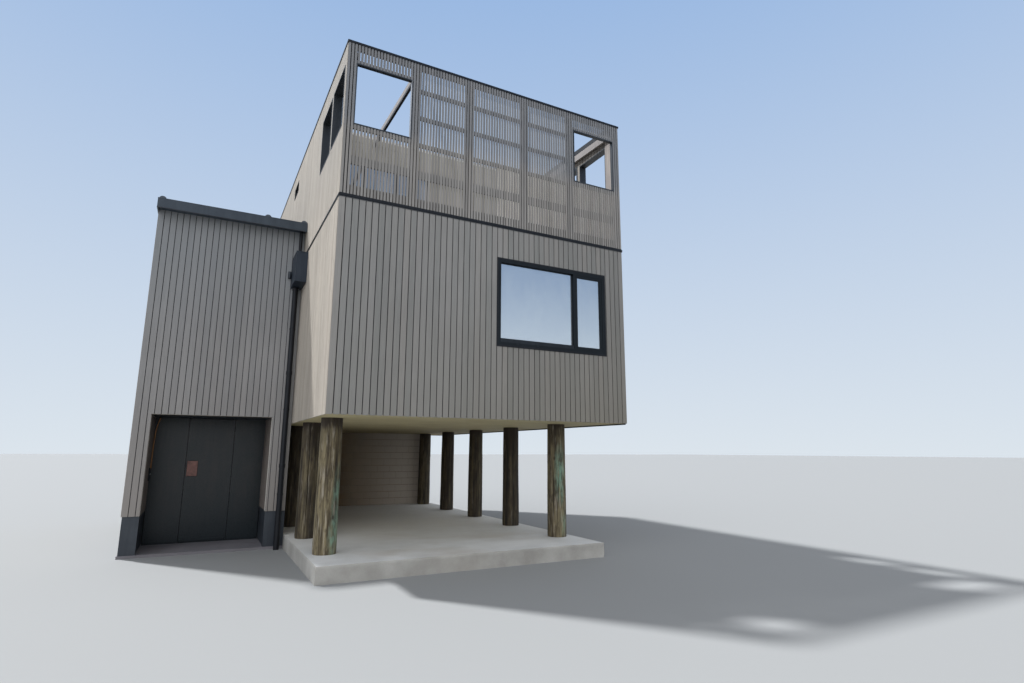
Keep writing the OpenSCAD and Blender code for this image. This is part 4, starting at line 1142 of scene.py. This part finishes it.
def makeWorld():  # even light on the house; the camera and the glass see a pale sky
    world = bpy.data.worlds.new("studio")
    bpy.context.scene.world = world
    world.use_nodes = True
    tree = world.node_tree
    tree.nodes.clear()
    rays = addNode(tree, "LightPath").outputs
    seen = rays["Is Camera Ray"]
    for kind in ("Is Glossy Ray", "Is Transmission Ray"):
        seen = addNode(tree, "Math", links={0: seen, 1: rays[kind]}, operation="MAXIMUM").outputs[0]
    ambient = addNode(tree, "Background", {"Color": toLinear("#f4f6fa"), "Strength": stageLook["ambient"]})
    up = addNode(tree, "SeparateXYZ", links={0: addNode(tree, "TexCoord").outputs["Generated"]}).outputs[2]
    sky = addRamp(tree, up, [(0.0, stageLook["horizon"]), (0.75, stageLook["sky"])])
    shown = addNode(tree, "Background", {"Strength": 1.0}, {"Color": sky})
    mixed = addNode(tree, "MixShader", links={0: seen, 1: ambient.outputs[0], 2: shown.outputs[0]})
    addNode(tree, "OutputWorld", links={0: mixed.outputs[0]})


def addToScene(name, data):
    thing = bpy.data.objects.new(name, data)
    bpy.context.scene.collection.objects.link(thing)
    return thing


def makeCamera():
    data = bpy.data.cameras.new("photoCamera")
    data.sensor_width = 36
    data.sensor_fit = "HORIZONTAL"
    data.lens = cameraSet["lens"]
    data.clip_end = 1000
    camera = addToScene("photoCamera", data)
    heading, tilt, roll = (math.radians(cameraSet[k]) for k in ("heading", "tilt", "roll"))
    forward = Vector((math.sin(heading) * math.cos(tilt), math.cos(heading) * math.cos(tilt), math.sin(tilt)))
    level = Vector((math.cos(heading), -math.sin(heading), 0))
    up = level.cross(forward)
    right = level * math.cos(roll) + up * math.sin(roll)
    top = up * math.cos(roll) - level * math.sin(roll)
    turn = Matrix((right, top, -forward)).transposed().to_4x4()
    camera.matrix_world = Matrix.Translation(at(*cameraSet["place"])) @ turn
    bpy.context.scene.camera = camera


makeWorld()
for name, (azimuth, elevation, strength, spread) in suns.items():
    data = bpy.data.lights.new(name, "SUN")
    data.energy = strength
    data.angle = math.radians(spread)
    a, e = math.radians(azimuth), math.radians(elevation)
    toLamp = Vector((math.sin(a) * math.cos(e), math.cos(a) * math.cos(e), math.sin(e)))
    addToScene(name, data).rotation_euler = toLamp.to_track_quat("Z", "Y").to_euler()
makeCamera()
bpy.context.scene.view_settings.view_transform = "Standard"
print("stage, light and camera")
